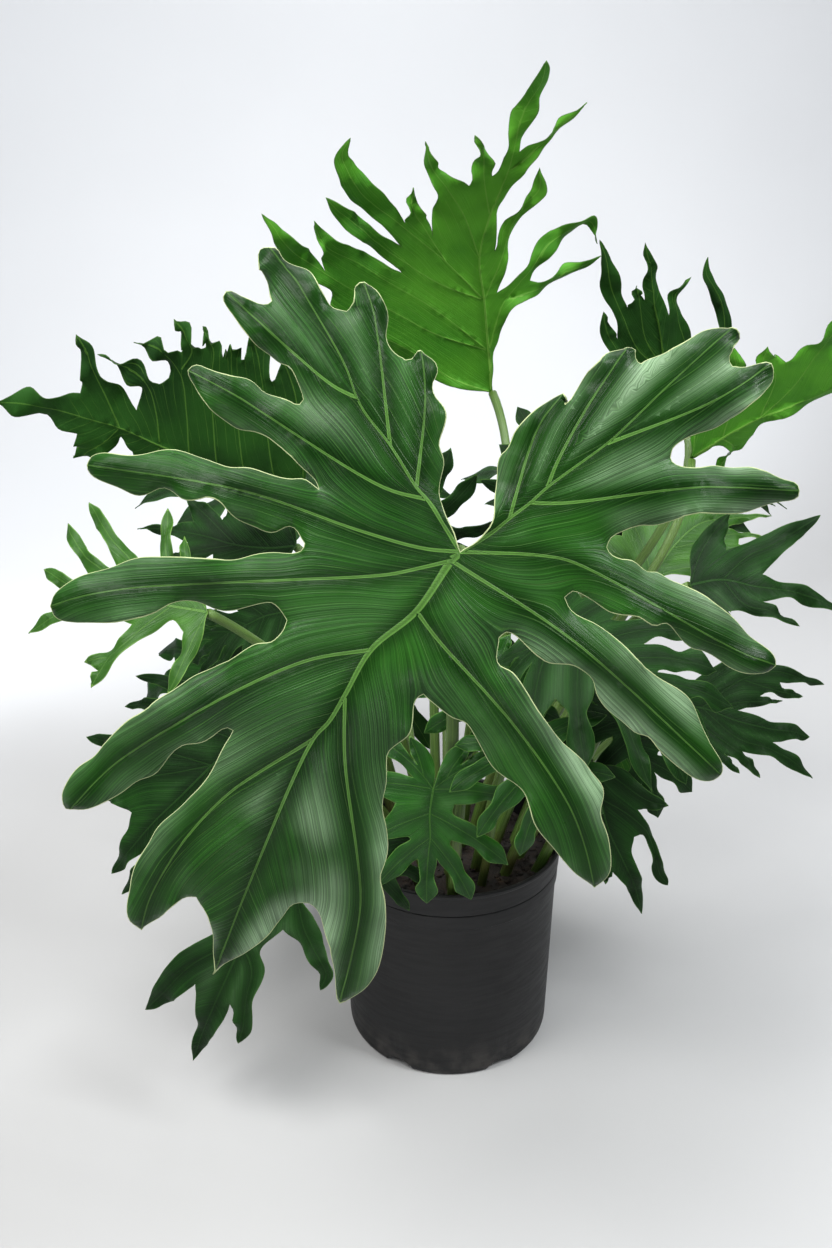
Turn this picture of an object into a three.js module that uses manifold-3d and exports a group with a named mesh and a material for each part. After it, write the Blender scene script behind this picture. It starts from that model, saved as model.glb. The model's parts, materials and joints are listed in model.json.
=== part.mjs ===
// Potted lickety split philodendron: a black nursery pot, its soil, and the cut leaves on their long stems.
// Millimetres, +Z up. The origin is the middle of the pot's flat base, on the surface it stands on.
// The large front leaf faces -Y.
import * as THREE from "three";
import { mergeVertices } from "three/addons/utils/BufferGeometryUtils.js";
import Module from "manifold-3d";

const wasm = await Module();
wasm.setup();

// Driving dimensions
const POT_HEIGHT = 210;
const POT_RIM_RADIUS = 108;
const POT_BASE_RADIUS = 99;
const POT_WALL = 1.8;
const POT_FLOOR = 2.4;
const POT_BASE_ROUNDING = 8;
const RIM_BAND_HEIGHT = 24;
const RIM_BAND_REACH = 1.5;
const FOLD_BAND_HEIGHT = 16;
const FOLD_BAND_REACH = 1.4;
const LIP_REACH = 2.2;
const LIP_HEIGHT = 6;
const DRAIN_SCOOPS = 6;
const DRAIN_WIDTH = 30;
const DRAIN_HEIGHT = 10;
const DRAIN_DEPTH = 14;
const DRAIN_SHOULDER = 0.72;
const POT_SIDES = 36;

const SOIL_LEVEL = 192;
const SOIL_CROWN = 5;
const SOIL_INSET = 0.7;
const SOIL_SIDES = 24;
const STEM_SINK = 26;
const CLEARANCE = 0.3;
const HOLE_CLEARANCE = 0.36;
const HOLE_SINK = 0.45;
const HOLE_ABOVE_SOIL = 4;

const BLADE_HALF_THICKNESS = 0.35;
const MIDRIB_DEPTH = 3.0;
const SIDE_RIB_DEPTH = 1.1;
const RIB_TIP_DEPTH = 0.3;
const FULL_RIBS_LENGTH = 170;

const STEM_SIDES = 6;
const STEM_RINGS = 6;
const STEM_LEAN = 0.006;
const STEM_BASE_RADIUS = 5.6;
const STEM_TIP_RADIUS = 3.6;
const STEM_RISE = 0.42;
const STEM_ARRIVAL = 0.75;

const FOOT_RINGS = [
  { radius: 11, count: 3 },
  { radius: 36, count: 10 },
  { radius: 58, count: 14 },
  { radius: 79, count: 16 },
];

// The front leaf bends away from a point in front of it, so that it keeps its outline as seen from there
const FRONT_FOCUS = new THREE.Vector3(-25, -41, 695);
const FRONT_DROOP = 0.00042;
const FRONT_FALL_START = -60;
const FRONT_FALL = 0.0016;
const FRONT_WAVE = 6;
const FRONT_CURL = 4;
const FRONT_CURL_START = 120;
const FRONT_DETAIL = 0.8;
const DRAWN_DETAIL = 1.1;
const GROWN_DETAIL = 0.008;
const RIB_TOLERANCE = 1.2;
const LONGEST_RIB_STEP = 50;
const LONGEST_MARGIN_STEP = 45;
const THINNEST_CORNER = 0.3;
const LONGEST_EDGE = 1000;
const NOTCH_CLEAR = 1.1;
const WAVES_PER_MARGIN = 1.6;
const WAVE_SHIFT_PER_LOBE = 1.7;
const WAVE_SHIFT_FALLING = 2.1;
const FOLD_SOFTNESS = 12;

// Spline steps between two drawn points of an outline or rib
const SPLINE_STEPS = 10;

const POT_COLOUR = 0x2d2c2e;
const SOIL_COLOUR = 0x33261c;
const STEM_COLOUR = 0x6f8f3a;
const BLADE_COLOURS = { front: 0x34622f, deep: 0x274f22, bright: 0x3c7a24, young: 0x6da832 };

const degrees = THREE.MathUtils.degToRad;
const lerp = THREE.MathUtils.lerp;

function seededDraw(seed) {
  let state = seed >>> 0;
  return () => {
    state = (Math.imul(state, 1664525) + 1013904223) >>> 0;
    return state / 4294967296;
  };
}

// Solids and their joins

function solidOf(geometry) {
  const bare = geometry.index ? geometry : geometry.clone();
  bare.deleteAttribute("normal");
  bare.deleteAttribute("uv");
  const merged = mergeVertices(bare, 1e-4);
  const mesh = new wasm.Mesh({
    numProp: 3,
    vertProperties: new Float32Array(merged.attributes.position.array),
    triVerts: new Uint32Array(merged.index.array),
  });
  return new wasm.Manifold(mesh);
}

function geometryOf(solid) {
  const mesh = solid.getMesh();
  const geometry = new THREE.BufferGeometry();
  geometry.setAttribute("position", new THREE.BufferAttribute(mesh.vertProperties, 3));
  geometry.setIndex(new THREE.BufferAttribute(mesh.triVerts, 1));
  return geometry;
}

function meshGeometry(points, triangles) {
  const geometry = new THREE.BufferGeometry();
  const numbers = points.flatMap((p) => [p.x, p.y, p.z]);
  geometry.setAttribute("position", new THREE.Float32BufferAttribute(numbers, 3));
  geometry.setIndex(triangles.flat());
  return geometry;
}

function plainMaterial(color, roughness) {
  return new THREE.MeshStandardMaterial({ color, roughness, metalness: 0 });
}

function namedMesh(name, geometry, material) {
  const mesh = new THREE.Mesh(geometry, material);
  mesh.name = name;
  return mesh;
}

// Pot and soil

function latheUpright(profile, sides) {
  const points = profile.map(([radius, height]) => new THREE.Vector2(radius, height));
  const geometry = new THREE.LatheGeometry(points, sides);
  geometry.rotateX(Math.PI / 2);
  return geometry;
}

function potWallRadius(height) {
  return lerp(POT_BASE_RADIUS, POT_RIM_RADIUS - LIP_REACH - RIM_BAND_REACH, height / POT_HEIGHT);
}

// An arched notch through the bottom edge of the wall, cut from outside
function drainScoop(index) {
  const half = DRAIN_WIDTH / 2;
  const shoulder = half * DRAIN_SHOULDER;
  const outline = new THREE.Shape();
  outline.moveTo(-half, -1);
  outline.lineTo(half, -1);
  outline.quadraticCurveTo(shoulder, DRAIN_HEIGHT, 0, DRAIN_HEIGHT);
  outline.quadraticCurveTo(-shoulder, DRAIN_HEIGHT, -half, -1);
  const scoop = new THREE.ExtrudeGeometry(outline, {
    depth: DRAIN_DEPTH + POT_BASE_ROUNDING,
    bevelEnabled: false,
    curveSegments: 4,
  });
  scoop.rotateX(Math.PI / 2);
  scoop.translate(0, -(POT_BASE_RADIUS - DRAIN_DEPTH), 0);
  scoop.rotateZ(((index + 0.5) * 2 * Math.PI) / DRAIN_SCOOPS);
  return scoop;
}

function buildPot() {
  const bandFoot = POT_HEIGHT - RIM_BAND_HEIGHT;
  const foldFoot = bandFoot - FOLD_BAND_HEIGHT;
  const lipFoot = POT_HEIGHT - LIP_HEIGHT;
  const rounding = POT_BASE_ROUNDING;
  const band = POT_RIM_RADIUS - LIP_REACH;
  const foldReach = potWallRadius(foldFoot) + FOLD_BAND_REACH;
  const bandReach = potWallRadius(bandFoot) + FOLD_BAND_REACH;
  const outside = [
    [0, 0],
    [POT_BASE_RADIUS - rounding * 0.6, 0],
    [POT_BASE_RADIUS - rounding * 0.15, rounding * 0.2],
    [potWallRadius(rounding), rounding],
    [potWallRadius(foldFoot), foldFoot],
    [foldReach, foldFoot + FOLD_BAND_REACH * 2],
    [bandReach, bandFoot - 1],
    [band - 0.4, bandFoot + LIP_REACH],
    [band, lipFoot],
    [POT_RIM_RADIUS - 0.4, lipFoot + LIP_REACH],
    [POT_RIM_RADIUS, POT_HEIGHT - 2],
    [POT_RIM_RADIUS - 1.2, POT_HEIGHT],
  ];
  const inside = [
    [band - POT_WALL, POT_HEIGHT - 1],
    [band - POT_WALL - 0.4, bandFoot],
    [potWallRadius(foldFoot) - POT_WALL, foldFoot],
    [potWallRadius(rounding) - POT_WALL, rounding],
    [POT_BASE_RADIUS - rounding * 0.75, POT_FLOOR],
    [0, POT_FLOOR],
  ];
  let pot = solidOf(latheUpright([...outside, ...inside], POT_SIDES));
  for (let index = 0; index < DRAIN_SCOOPS; index += 1) {
    pot = pot.subtract(solidOf(drainScoop(index)));
  }
  return pot;
}

// The soil fills the pot with a little clearance all round, and is lowest where it meets the wall
function buildSoil(holes) {
  const inset = POT_WALL + SOIL_INSET;
  const bottom = POT_FLOOR + SOIL_INSET;
  const shoulder = POT_HEIGHT - RIM_BAND_HEIGHT - FOLD_BAND_HEIGHT;
  const top = potWallRadius(SOIL_LEVEL) - inset;
  const profile = [
    [0, bottom],
    [POT_BASE_RADIUS - POT_BASE_ROUNDING - SOIL_INSET, bottom],
    [potWallRadius(POT_BASE_ROUNDING) - inset, POT_BASE_ROUNDING + inset],
    [potWallRadius(shoulder) - inset, shoulder],
    [top, SOIL_LEVEL - SOIL_CROWN],
    [top * 0.72, SOIL_LEVEL - SOIL_CROWN * 0.3],
    [0, SOIL_LEVEL],
  ];
  let soil = solidOf(latheUpright(profile, SOIL_SIDES));
  for (const hole of holes) {
    soil = soil.subtract(hole);
  }
  return soil;
}

// Leaf plans. A plan is flat: x to the right, y toward the tip, the stem joint at 0, 0, seen from above.
// Each lobe has a rib, from the point where it forks off another rib out to its tip. Lobes are listed
// clockwise, starting and ending at the open notch behind the joint.
// The front leaf is drawn with its margins: rise runs from the notch before a lobe to its tip, fall from
// its tip to the notch after it.

const FRONT_LOBES = {
  right_a: {
    from: "right_c",
    fork: 2,
    rib: [[45, 72], [59, 91]],
    rise: [[14, 10], [18, 16], [23, 54], [27, 59], [32, 70], [52, 88]],
    fall: [[61, 88], [59, 84]],
  },
  right_b: {
    from: "right_c",
    fork: 4,
    rib: [[55, 50], [71, 80], [96, 118]],
    rise: [[62, 85], [71, 100], [82, 112]],
    fall: [[100, 117], [100, 111]],
  },
  right_c: {
    from: "apex",
    fork: 0,
    rib: [[17, 10], [28, 19], [40, 28], [50, 37], [84, 62], [93, 70], [122, 98], [156, 129]],
    rise: [[102, 107], [105, 108], [146, 128]],
    fall: [[160, 126], [154, 112]],
  },
  right_d: {
    from: "right_c",
    fork: 5,
    rib: [[138, 83], [160, 95], [178, 108]],
    rise: [[156, 107]],
    fall: [[179, 104], [179, 98], [174, 92], [156, 77], [122, 60], [120, 54]],
  },
  right_2: {
    from: "right_c",
    fork: 3,
    rib: [[60, 28], [138, 37], [194, 35]],
    rise: [[122, 51], [137, 48], [146, 49], [168, 48], [186, 42], [192, 39]],
    fall: [
      [192, 31], [171, 25], [160, 22], [133, 22], [112, 16], [103, 16], [95, 13], [87, 8], [85, 3],
    ],
  },
  right_3: {
    from: "apex",
    fork: 0,
    rib: [[46, -2], [65, -6], [160, -57], [181, -65]],
    rise: [
      [87, -1], [92, -4], [98, -5], [107, -11], [113, -11], [122, -17], [142, -26], [179, -60],
    ],
    fall: [
      [177, -69], [171, -70], [153, -66], [139, -56], [133, -55], [127, -51], [120, -41], [116, -40],
      [111, -42], [102, -37], [86, -34], [65, -22], [60, -26],
    ],
  },
  right_4: {
    from: "apex",
    fork: 1,
    rib: [[65, -51], [150, -128]],
    rise: [
      [65, -34], [87, -48], [108, -68], [125, -79], [131, -85], [135, -92], [143, -111], [150, -121],
      [151, -125],
    ],
    fall: [
      [146, -131], [140, -131], [127, -124], [115, -114], [108, -105], [99, -103], [79, -83],
      [75, -72], [66, -65], [52, -64], [45, -60], [30, -47], [26, -46], [22, -49],
    ],
  },
  right_5: {
    from: "apex",
    fork: 2,
    rib: [[-13, -50], [30, -98], [57, -136], [66, -153], [73, -174], [77, -193]],
    rise: [
      [21, -61], [23, -65], [30, -69], [51, -100], [73, -122], [82, -135], [80, -149], [85, -164],
      [85, -182], [82, -188],
    ],
    fall: [
      [48, -163], [42, -154], [37, -139], [17, -119], [7, -101], [3, -97], [-5, -95], [-21, -81],
    ],
  },
  low_7: {
    from: "apex",
    fork: 4,
    rib: [[-66, -119], [-57, -199], [-62, -231], [-69, -258]],
    rise: [
      [-24, -83], [-26, -86], [-29, -104], [-41, -116], [-42, -121], [-42, -135], [-45, -148],
      [-42, -162], [-42, -170], [-46, -185], [-43, -201], [-44, -226], [-50, -242], [-56, -251],
    ],
    fall: [[-77, -217], [-83, -205], [-87, -202]],
  },
  apex: {
    from: null,
    fork: 0,
    rib: [
      [-5, -5], [-25, -34], [-51, -56], [-66, -82], [-75, -97], [-84, -107], [-120, -188],
      [-141, -242],
    ],
    rise: [[-92, -201], [-97, -202], [-111, -221], [-134, -236]],
    fall: [[-140, -236], [-146, -204], [-151, -197]],
  },
  left_6: {
    from: "apex",
    fork: 6,
    rib: [[-131, -137], [-153, -159], [-166, -177], [-178, -199], [-183, -217]],
    rise: [[-156, -198], [-162, -201]],
    fall: [
      [-189, -210], [-191, -202], [-188, -185], [-185, -177], [-169, -154], [-154, -140],
      [-147, -132], [-131, -103],
    ],
  },
  left_5: {
    from: "apex",
    fork: 3,
    rib: [[-87, -62], [-131, -81], [-186, -113], [-202, -125], [-224, -148]],
    rise: [
      [-134, -102], [-147, -109], [-159, -111], [-164, -115], [-174, -126], [-184, -130],
      [-194, -138], [-215, -147],
    ],
    fall: [
      [-227, -147], [-228, -140], [-224, -132], [-218, -123], [-208, -116], [-191, -97], [-181, -91],
      [-171, -83], [-140, -65], [-130, -62], [-117, -53], [-107, -52], [-101, -46], [-99, -39],
    ],
  },
  left_4: {
    from: "apex",
    fork: 1,
    rib: [[-22, -9], [-42, -13], [-98, -16], [-144, -18], [-191, -21], [-219, -26], [-235, -31]],
    rise: [
      [-105, -30], [-109, -28], [-131, -33], [-159, -28], [-165, -29], [-176, -35], [-199, -40],
      [-230, -37],
    ],
    fall: [
      [-232, -23], [-202, -9], [-173, -3], [-132, -4], [-106, 0], [-94, -1], [-89, 1], [-88, 5],
    ],
  },
  left_3: {
    from: "apex",
    fork: 0,
    rib: [[-21, 2], [-57, 12], [-124, 35], [-214, 50]],
    rise: [
      [-95, 14], [-99, 15], [-107, 12], [-117, 14], [-127, 18], [-139, 30], [-144, 32], [-151, 30],
      [-158, 30], [-170, 36], [-183, 33], [-194, 36], [-212, 46],
    ],
    fall: [
      [-212, 55], [-207, 57], [-191, 55], [-171, 58], [-147, 54], [-132, 48], [-120, 48], [-98, 41],
      [-89, 41], [-81, 36],
    ],
  },
  left_2: {
    from: "left_a",
    fork: 1,
    rib: [[-44, 37], [-131, 91], [-156, 104]],
    rise: [[-83, 41], [-108, 64], [-117, 69], [-130, 72], [-155, 99]],
    fall: [[-152, 106], [-146, 105], [-118, 96], [-112, 92], [-99, 87], [-93, 85], [-91, 88]],
  },
  left_b: {
    from: "left_a",
    fork: 5,
    rib: [[-74, 96], [-134, 149]],
    rise: [[-97, 106], [-105, 109], [-128, 132], [-135, 145]],
    fall: [[-130, 149], [-111, 142], [-108, 144]],
  },
  left_a: {
    from: "apex",
    fork: 0,
    rib: [
      [-19, 30], [-25, 37], [-40, 61], [-54, 79], [-59, 88], [-66, 107], [-87, 144], [-95, 157],
      [-109, 174],
    ],
    rise: [[-116, 169], [-114, 173]],
    fall: [[-105, 173], [-101, 168], [-88, 162], [-83, 156], [-74, 141], [-65, 137]],
  },
  left_c: {
    from: "left_a",
    fork: 3,
    rib: [[-49, 134], [-55, 155]],
    rise: [[-62, 139], [-58, 154]],
    fall: [[-50, 152], [-46, 147], [-42, 132], [-42, 123], [-40, 117], [-36, 112], [-31, 109]],
  },
  left_d: {
    from: "left_a",
    fork: 2,
    rib: [[-20, 87], [-22, 116]],
    rise: [[-27, 111], [-25, 115]],
    fall: [
      [-15, 108], [-14, 103], [-16, 97], [-15, 91], [-8, 79], [-12, 62], [-10, 53], [-12, 32],
      [-10, 24], [-5, 14], [0, 0],
    ],
  },
};

// Leaves drawn by their lobes: each rib point has its place and the lobe's half-width there. The notch is
// the one after the lobe.
const DRAWN_LOBES = {
  tall_back: {
    right_d: {
      from: "right_c", fork: 1, notch: [-14, 105],
      rib: [[-27, 98, 6], [-51, 112, 5], [-70, 119, 4], [-82, 128, 0]],
    },
    right_c: {
      from: "end", fork: 1, notch: [14, 93],
      rib: [[5, 87, 7], [-11, 115, 6], [-23, 140, 7], [-41, 154, 7], [-57, 161, 5], [-74, 139, 0]],
    },
    right_b: {
      from: "end", fork: 2, notch: [25, 130],
      rib: [[18, 121, 5], [18, 155, 5], [13, 176, 5], [6, 189, 5], [13, 209, 0]],
    },
    right_a: {
      from: "end", fork: 5, notch: [33, 220],
      rib: [[26, 216, 3], [18, 234, 3], [9, 251, 3], [0, 269, 0]],
    },
    end: {
      from: null, fork: 0, notch: [47, 197],
      rib: [
        [10, 39, 8], [23, 85, 8], [36, 123, 8], [38, 162, 8], [36, 202, 11], [41, 237, 6],
        [43, 266, 6], [42, 284, 7], [46, 301, 0],
      ],
    },
    left_a: {
      from: "end", fork: 4, notch: [62, 186],
      rib: [[52, 193, 7], [59, 213, 5], [72, 230, 0]],
    },
    left_b: {
      from: "end", fork: 3, notch: [80, 139],
      rib: [[59, 160, 11], [78, 181, 13], [93, 195, 5], [108, 221, 0]],
    },
    left_c: {
      from: "left_d", fork: 1, notch: [105, 148],
      rib: [[88, 145, 6], [102, 162, 5], [106, 180, 0]],
    },
    left_d: {
      from: "end", fork: 2, notch: [103, 127],
      rib: [
        [62, 116, 11], [89, 134, 13], [119, 153, 12], [145, 170, 11], [165, 191, 9], [173, 205, 5],
        [169, 219, 0],
      ],
    },
    left_e: {
      from: "end", fork: 2, notch: [98, 103],
      rib: [[63, 96, 8], [97, 113, 8], [127, 131, 7], [157, 151, 7], [177, 166, 0]],
    },
    left_f: {
      from: "end", fork: 1, notch: [165, 101],
      rib: [[66, 74, 11], [105, 93, 11], [140, 111, 11], [170, 125, 9], [184, 146, 0]],
    },
    left_g: {
      from: "end", fork: 1, notch: [156, 70],
      rib: [[58, 50, 11], [97, 67, 11], [151, 92, 12], [190, 114, 12], [208, 128, 7], [230, 151, 0]],
    },
    left_h: {
      from: "end", fork: 0,
      rib: [[40, 11, 7], [78, 33, 12], [121, 50, 11], [160, 67, 8], [186, 86, 0]],
    },
  },
  upper_left: {
    lobe_h: {
      from: "end", fork: 0, notch: [-87, 36],
      rib: [[-36, 10, 11], [-66, 19, 10], [-93, 33, 0]],
    },
    lobe_g: {
      from: "end", fork: 1, notch: [-88, 63],
      rib: [[-41, 38, 11], [-74, 47, 11], [-96, 55, 7], [-112, 62, 0]],
    },
    lobe_f: {
      from: "end", fork: 2, notch: [-87, 79],
      rib: [[-37, 60, 8], [-72, 70, 7], [-98, 75, 0]],
    },
    lobe_e: {
      from: "end", fork: 3, notch: [-92, 93],
      rib: [[-34, 79, 10], [-66, 86, 9], [-90, 87, 7], [-108, 98, 0]],
    },
    lobe_d: {
      from: "lobe_c", fork: 2, notch: [-85, 111],
      rib: [[-88, 103, 6], [-99, 109, 5], [-110, 119, 0]],
    },
    lobe_c: {
      from: "end", fork: 4, notch: [-58, 124],
      rib: [[-40, 101, 9], [-70, 110, 8], [-85, 127, 5], [-89, 146, 0]],
    },
    lobe_b: {
      from: "end", fork: 5, notch: [-35, 139],
      rib: [[-36, 124, 7], [-57, 133, 6], [-69, 151, 5], [-76, 172, 0]],
    },
    lobe_a: {
      from: "end", fork: 6, notch: [-45, 182],
      rib: [[-44, 163, 11], [-64, 174, 8], [-77, 180, 6], [-90, 188, 0]],
    },
    end: {
      from: null, fork: 0, notch: [-12, 182],
      rib: [
        [4, 24, 0], [4, 49, 0], [4, 71, 0], [-2, 94, 0], [-9, 118, 0], [-20, 150, 10],
        [-26, 177, 11], [-31, 198, 11], [-34, 218, 10], [-36, 243, 0],
      ],
    },
    lobe_a_back: {
      from: "end", fork: 6, notch: [0, 139],
      rib: [[-5, 163, 11], [7, 174, 8], [16, 180, 6], [23, 188, 0]],
    },
    lobe_b_back: {
      from: "end", fork: 5, notch: [29, 124],
      rib: [[10, 124, 7], [22, 133, 6], [22, 151, 5], [18, 172, 0]],
    },
    lobe_c_back: {
      from: "end", fork: 4, notch: [59, 111],
      rib: [[26, 101, 9], [47, 110, 8], [50, 127, 5], [41, 146, 0]],
    },
    lobe_d_back: {
      from: "lobe_c_back", fork: 2, notch: [76, 93],
      rib: [[67, 103, 6], [72, 109, 5], [76, 119, 0]],
    },
    lobe_e_back: {
      from: "end", fork: 3, notch: [78, 79],
      rib: [[33, 79, 10], [57, 86, 9], [76, 87, 7], [86, 98, 0]],
    },
    lobe_f_back: {
      from: "end", fork: 2, notch: [82, 63],
      rib: [[39, 60, 8], [69, 70, 7], [89, 75, 0]],
    },
    lobe_g_back: {
      from: "end", fork: 1, notch: [82, 36],
      rib: [[42, 38, 11], [70, 47, 11], [88, 55, 7], [102, 62, 0]],
    },
    lobe_h_back: {
      from: "end", fork: 0,
      rib: [[34, 10, 11], [62, 19, 10], [87, 33, 0]],
    },
  },
  young_left: {
    low_a: {
      from: "end", fork: 0, notch: [-14, 19],
      rib: [[-17, 10, 6], [-37, 20, 5], [-53, 28, 5], [-62, 34, 0]],
    },
    low_b: {
      from: "end", fork: 1, notch: [-33, 90],
      rib: [[-1, 46, 8], [-13, 64, 6], [-24, 80, 7], [-37, 91, 5], [-45, 97, 0]],
    },
    low_c: {
      from: "low_b", fork: 3, notch: [0, 61],
      rib: [[-23, 91, 4], [-23, 98, 3], [-23, 103, 0]],
    },
    end: {
      from: null, fork: 0, notch: [33, 104],
      rib: [[9, 28, 11], [20, 60, 8], [24, 91, 7], [24, 122, 5], [20, 147, 5], [17, 160, 0]],
    },
    up_a: {
      from: "end", fork: 3, notch: [43, 95],
      rib: [[39, 106, 5], [50, 122, 5], [63, 137, 5], [69, 144, 0]],
    },
    up_b: {
      from: "end", fork: 2, notch: [46, 71],
      rib: [[47, 82, 5], [67, 101, 5], [92, 116, 5], [107, 122, 0]],
    },
    up_c: {
      from: "end", fork: 2, notch: [32, 42],
      rib: [[48, 58, 6], [76, 77, 5], [106, 93, 5], [121, 101, 0]],
    },
    up_d: {
      from: "end", fork: 1, notch: [28, 22],
      rib: [[39, 30, 5], [65, 31, 5], [84, 29, 4], [95, 29, 0]],
    },
    up_e: {
      from: "end", fork: 0,
      rib: [[27, 12, 5], [43, 15, 4], [58, 16, 3], [67, 16, 0]],
    },
  },
  hanging_left: {
    right_b: {
      from: "end", fork: 0, notch: [-6, 33],
      rib: [[-19, 20, 12], [-39, 32, 8], [-57, 42, 7], [-59, 51, 4], [-60, 57, 0]],
    },
    right_a: {
      from: "end", fork: 2, notch: [2, 123],
      rib: [[0, 82, 11], [-10, 114, 8], [-18, 135, 8], [-20, 147, 4], [-21, 154, 0]],
    },
    end: {
      from: null, fork: 0, notch: [37, 127],
      rib: [[10, 33, 13], [17, 68, 15], [15, 111, 14], [13, 152, 12], [11, 185, 6], [9, 208, 0]],
    },
    left_a: {
      from: "end", fork: 1,
      rib: [[30, 78, 14], [49, 116, 14], [59, 155, 11], [65, 177, 6], [69, 191, 0]],
    },
  },
  left_low: {
    low_b: {
      from: "end", fork: 1, notch: [-6, 118],
      rib: [[-5, 71, 10], [-7, 105, 9], [-7, 145, 8], [-3, 169, 5], [-1, 185, 0]],
    },
    end: {
      from: null, fork: 0, notch: [35, 119],
      rib: [[4, 32, 15], [7, 70, 17], [12, 107, 15], [15, 139, 12], [17, 163, 7], [19, 179, 0]],
    },
    left_a: {
      from: "end", fork: 1, notch: [54, 77],
      rib: [[25, 61, 12], [45, 87, 10], [60, 116, 7], [67, 131, 4], [71, 140, 0]],
    },
    left_b: {
      from: "end", fork: 1, notch: [59, 46],
      rib: [[43, 55, 9], [70, 73, 8], [99, 94, 6], [114, 104, 4], [123, 110, 0]],
    },
    left_c: {
      from: "end", fork: 0, notch: [66, 16],
      rib: [[47, 22, 8], [77, 33, 7], [94, 44, 5], [103, 54, 3], [108, 60, 0]],
    },
    left_d: {
      from: "end", fork: 0,
      rib: [[47, 2, 8], [77, 9, 7], [98, 19, 5], [112, 28, 3], [121, 34, 0]],
    },
  },
  right_upper: {
    right_b: {
      from: "end", fork: 0, notch: [-38, 39],
      rib: [[-41, 3, 8], [-68, 18, 8], [-77, 50, 7], [-66, 83, 5], [-55, 103, 5], [-59, 116, 0]],
    },
    right_a: {
      from: "end", fork: 0, notch: [-9, 83],
      rib: [[-25, 39, 7], [-19, 79, 6], [-19, 101, 5], [-38, 107, 0]],
    },
    end: {
      from: null, fork: 0, notch: [14, 109],
      rib: [[0, 33, 9], [1, 69, 10], [6, 106, 8], [8, 136, 5], [13, 164, 0]],
    },
    left_a: {
      from: "end", fork: 1, notch: [29, 107],
      rib: [[15, 70, 9], [18, 101, 8], [20, 125, 0]],
    },
    left_b: {
      from: "end", fork: 1, notch: [39, 79],
      rib: [[21, 60, 9], [34, 101, 8], [42, 131, 7], [46, 159, 5], [52, 182, 0]],
    },
    left_c: {
      from: "end", fork: 0,
      rib: [[25, 35, 8], [40, 67, 7], [49, 93, 5], [50, 111, 0]],
    },
  },
  far_right: {
    low_a: {
      from: "end", fork: 1, notch: [-5, 57],
      rib: [[-13, 38, 4], [-27, 28, 4], [-42, 21, 3], [-51, 17, 0]],
    },
    end: {
      from: null, fork: 0, notch: [28, 138],
      rib: [[7, 32, 9], [11, 67, 8], [11, 102, 7], [14, 130, 8], [17, 150, 5], [19, 162, 0]],
    },
    up_a: {
      from: "end", fork: 2, notch: [55, 102],
      rib: [[29, 101, 12], [50, 125, 12], [62, 138, 8], [73, 150, 5], [79, 156, 0]],
    },
    up_b: {
      from: "end", fork: 2, notch: [58, 67],
      rib: [[47, 91, 9], [63, 85, 5], [72, 90, 3], [77, 92, 0]],
    },
    up_c: {
      from: "end", fork: 1, notch: [50, 40],
      rib: [[46, 56, 9], [68, 64, 7], [83, 65, 4], [92, 65, 0]],
    },
    up_d: {
      from: "end", fork: 0,
      rib: [[53, 27, 8], [79, 37, 7], [92, 39, 4], [101, 40, 0]],
    },
  },
  right_bright: {
    left_c: {
      from: "end", fork: 0, notch: [-47, -4],
      rib: [[-25, -13, 9], [-46, -23, 7], [-68, -27, 0]],
    },
    left_b: {
      from: "end", fork: 0, notch: [-51, 36],
      rib: [[-31, 9, 12], [-57, 13, 9], [-79, 20, 0]],
    },
    left_a: {
      from: "end", fork: 1, notch: [-41, 64],
      rib: [[-41, 47, 8], [-64, 60, 0]],
    },
    end: {
      from: null, fork: 0, notch: [-12, 92],
      rib: [[-16, 33, 13], [-26, 74, 10], [-18, 111, 6], [-5, 160, 0]],
    },
    right_a: {
      from: "end", fork: 1, notch: [7, 100],
      rib: [[-9, 69, 6], [-2, 107, 4], [17, 138, 0]],
    },
    right_b: {
      from: "right_a", fork: 1, notch: [3, 54],
      rib: [[8, 85, 5], [19, 104, 5], [38, 116, 0]],
    },
    low_a: {
      from: "end", fork: 0,
      rib: [[8, 39, 7], [22, 52, 6], [42, 53, 5], [62, 50, 0]],
    },
  },
  right_mid: {
    up_a: {
      from: "end", fork: 0, notch: [-37, 30],
      rib: [[-27, 7, 8], [-49, 17, 7], [-64, 27, 4], [-73, 33, 0]],
    },
    up_b: {
      from: "end", fork: 1, notch: [-22, 63],
      rib: [[-36, 50, 11], [-51, 72, 11], [-71, 95, 7], [-85, 111, 4], [-94, 121, 0]],
    },
    end: {
      from: null, fork: 0, notch: [2, 64],
      rib: [[-10, 28, 13], [-10, 57, 9], [-13, 85, 7], [-13, 111, 7], [-11, 133, 4], [-10, 147, 0]],
    },
    low_a: {
      from: "end", fork: 1, notch: [18, 33],
      rib: [[8, 48, 7], [9, 71, 6], [13, 88, 3], [16, 99, 0]],
    },
    low_b: {
      from: "end", fork: 0,
      rib: [[17, 19, 8], [32, 33, 7], [44, 41, 4], [51, 46, 0]],
    },
  },
  right_low: {
    up_a: {
      from: "end", fork: 0, notch: [-50, 53],
      rib: [[-28, 28, 8], [-48, 46, 6], [-62, 56, 4], [-71, 62, 0]],
    },
    up_b: {
      from: "end", fork: 1, notch: [-52, 107],
      rib: [[-42, 65, 9], [-61, 101, 7], [-65, 136, 4], [-69, 155, 3], [-71, 168, 0]],
    },
    up_c: {
      from: "up_b", fork: 1, notch: [-32, 86],
      rib: [[-42, 91, 6], [-44, 115, 4], [-46, 129, 3], [-48, 138, 0]],
    },
    up_d: {
      from: "end", fork: 1, notch: [-12, 64],
      rib: [[-23, 74, 5], [-30, 97, 3], [-35, 113, 0]],
    },
    end: {
      from: null, fork: 0, notch: [7, 105],
      rib: [[-5, 28, 13], [-2, 63, 9], [-5, 103, 8], [-11, 134, 6], [-11, 144, 4], [-12, 151, 0]],
    },
    low_a: {
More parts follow.
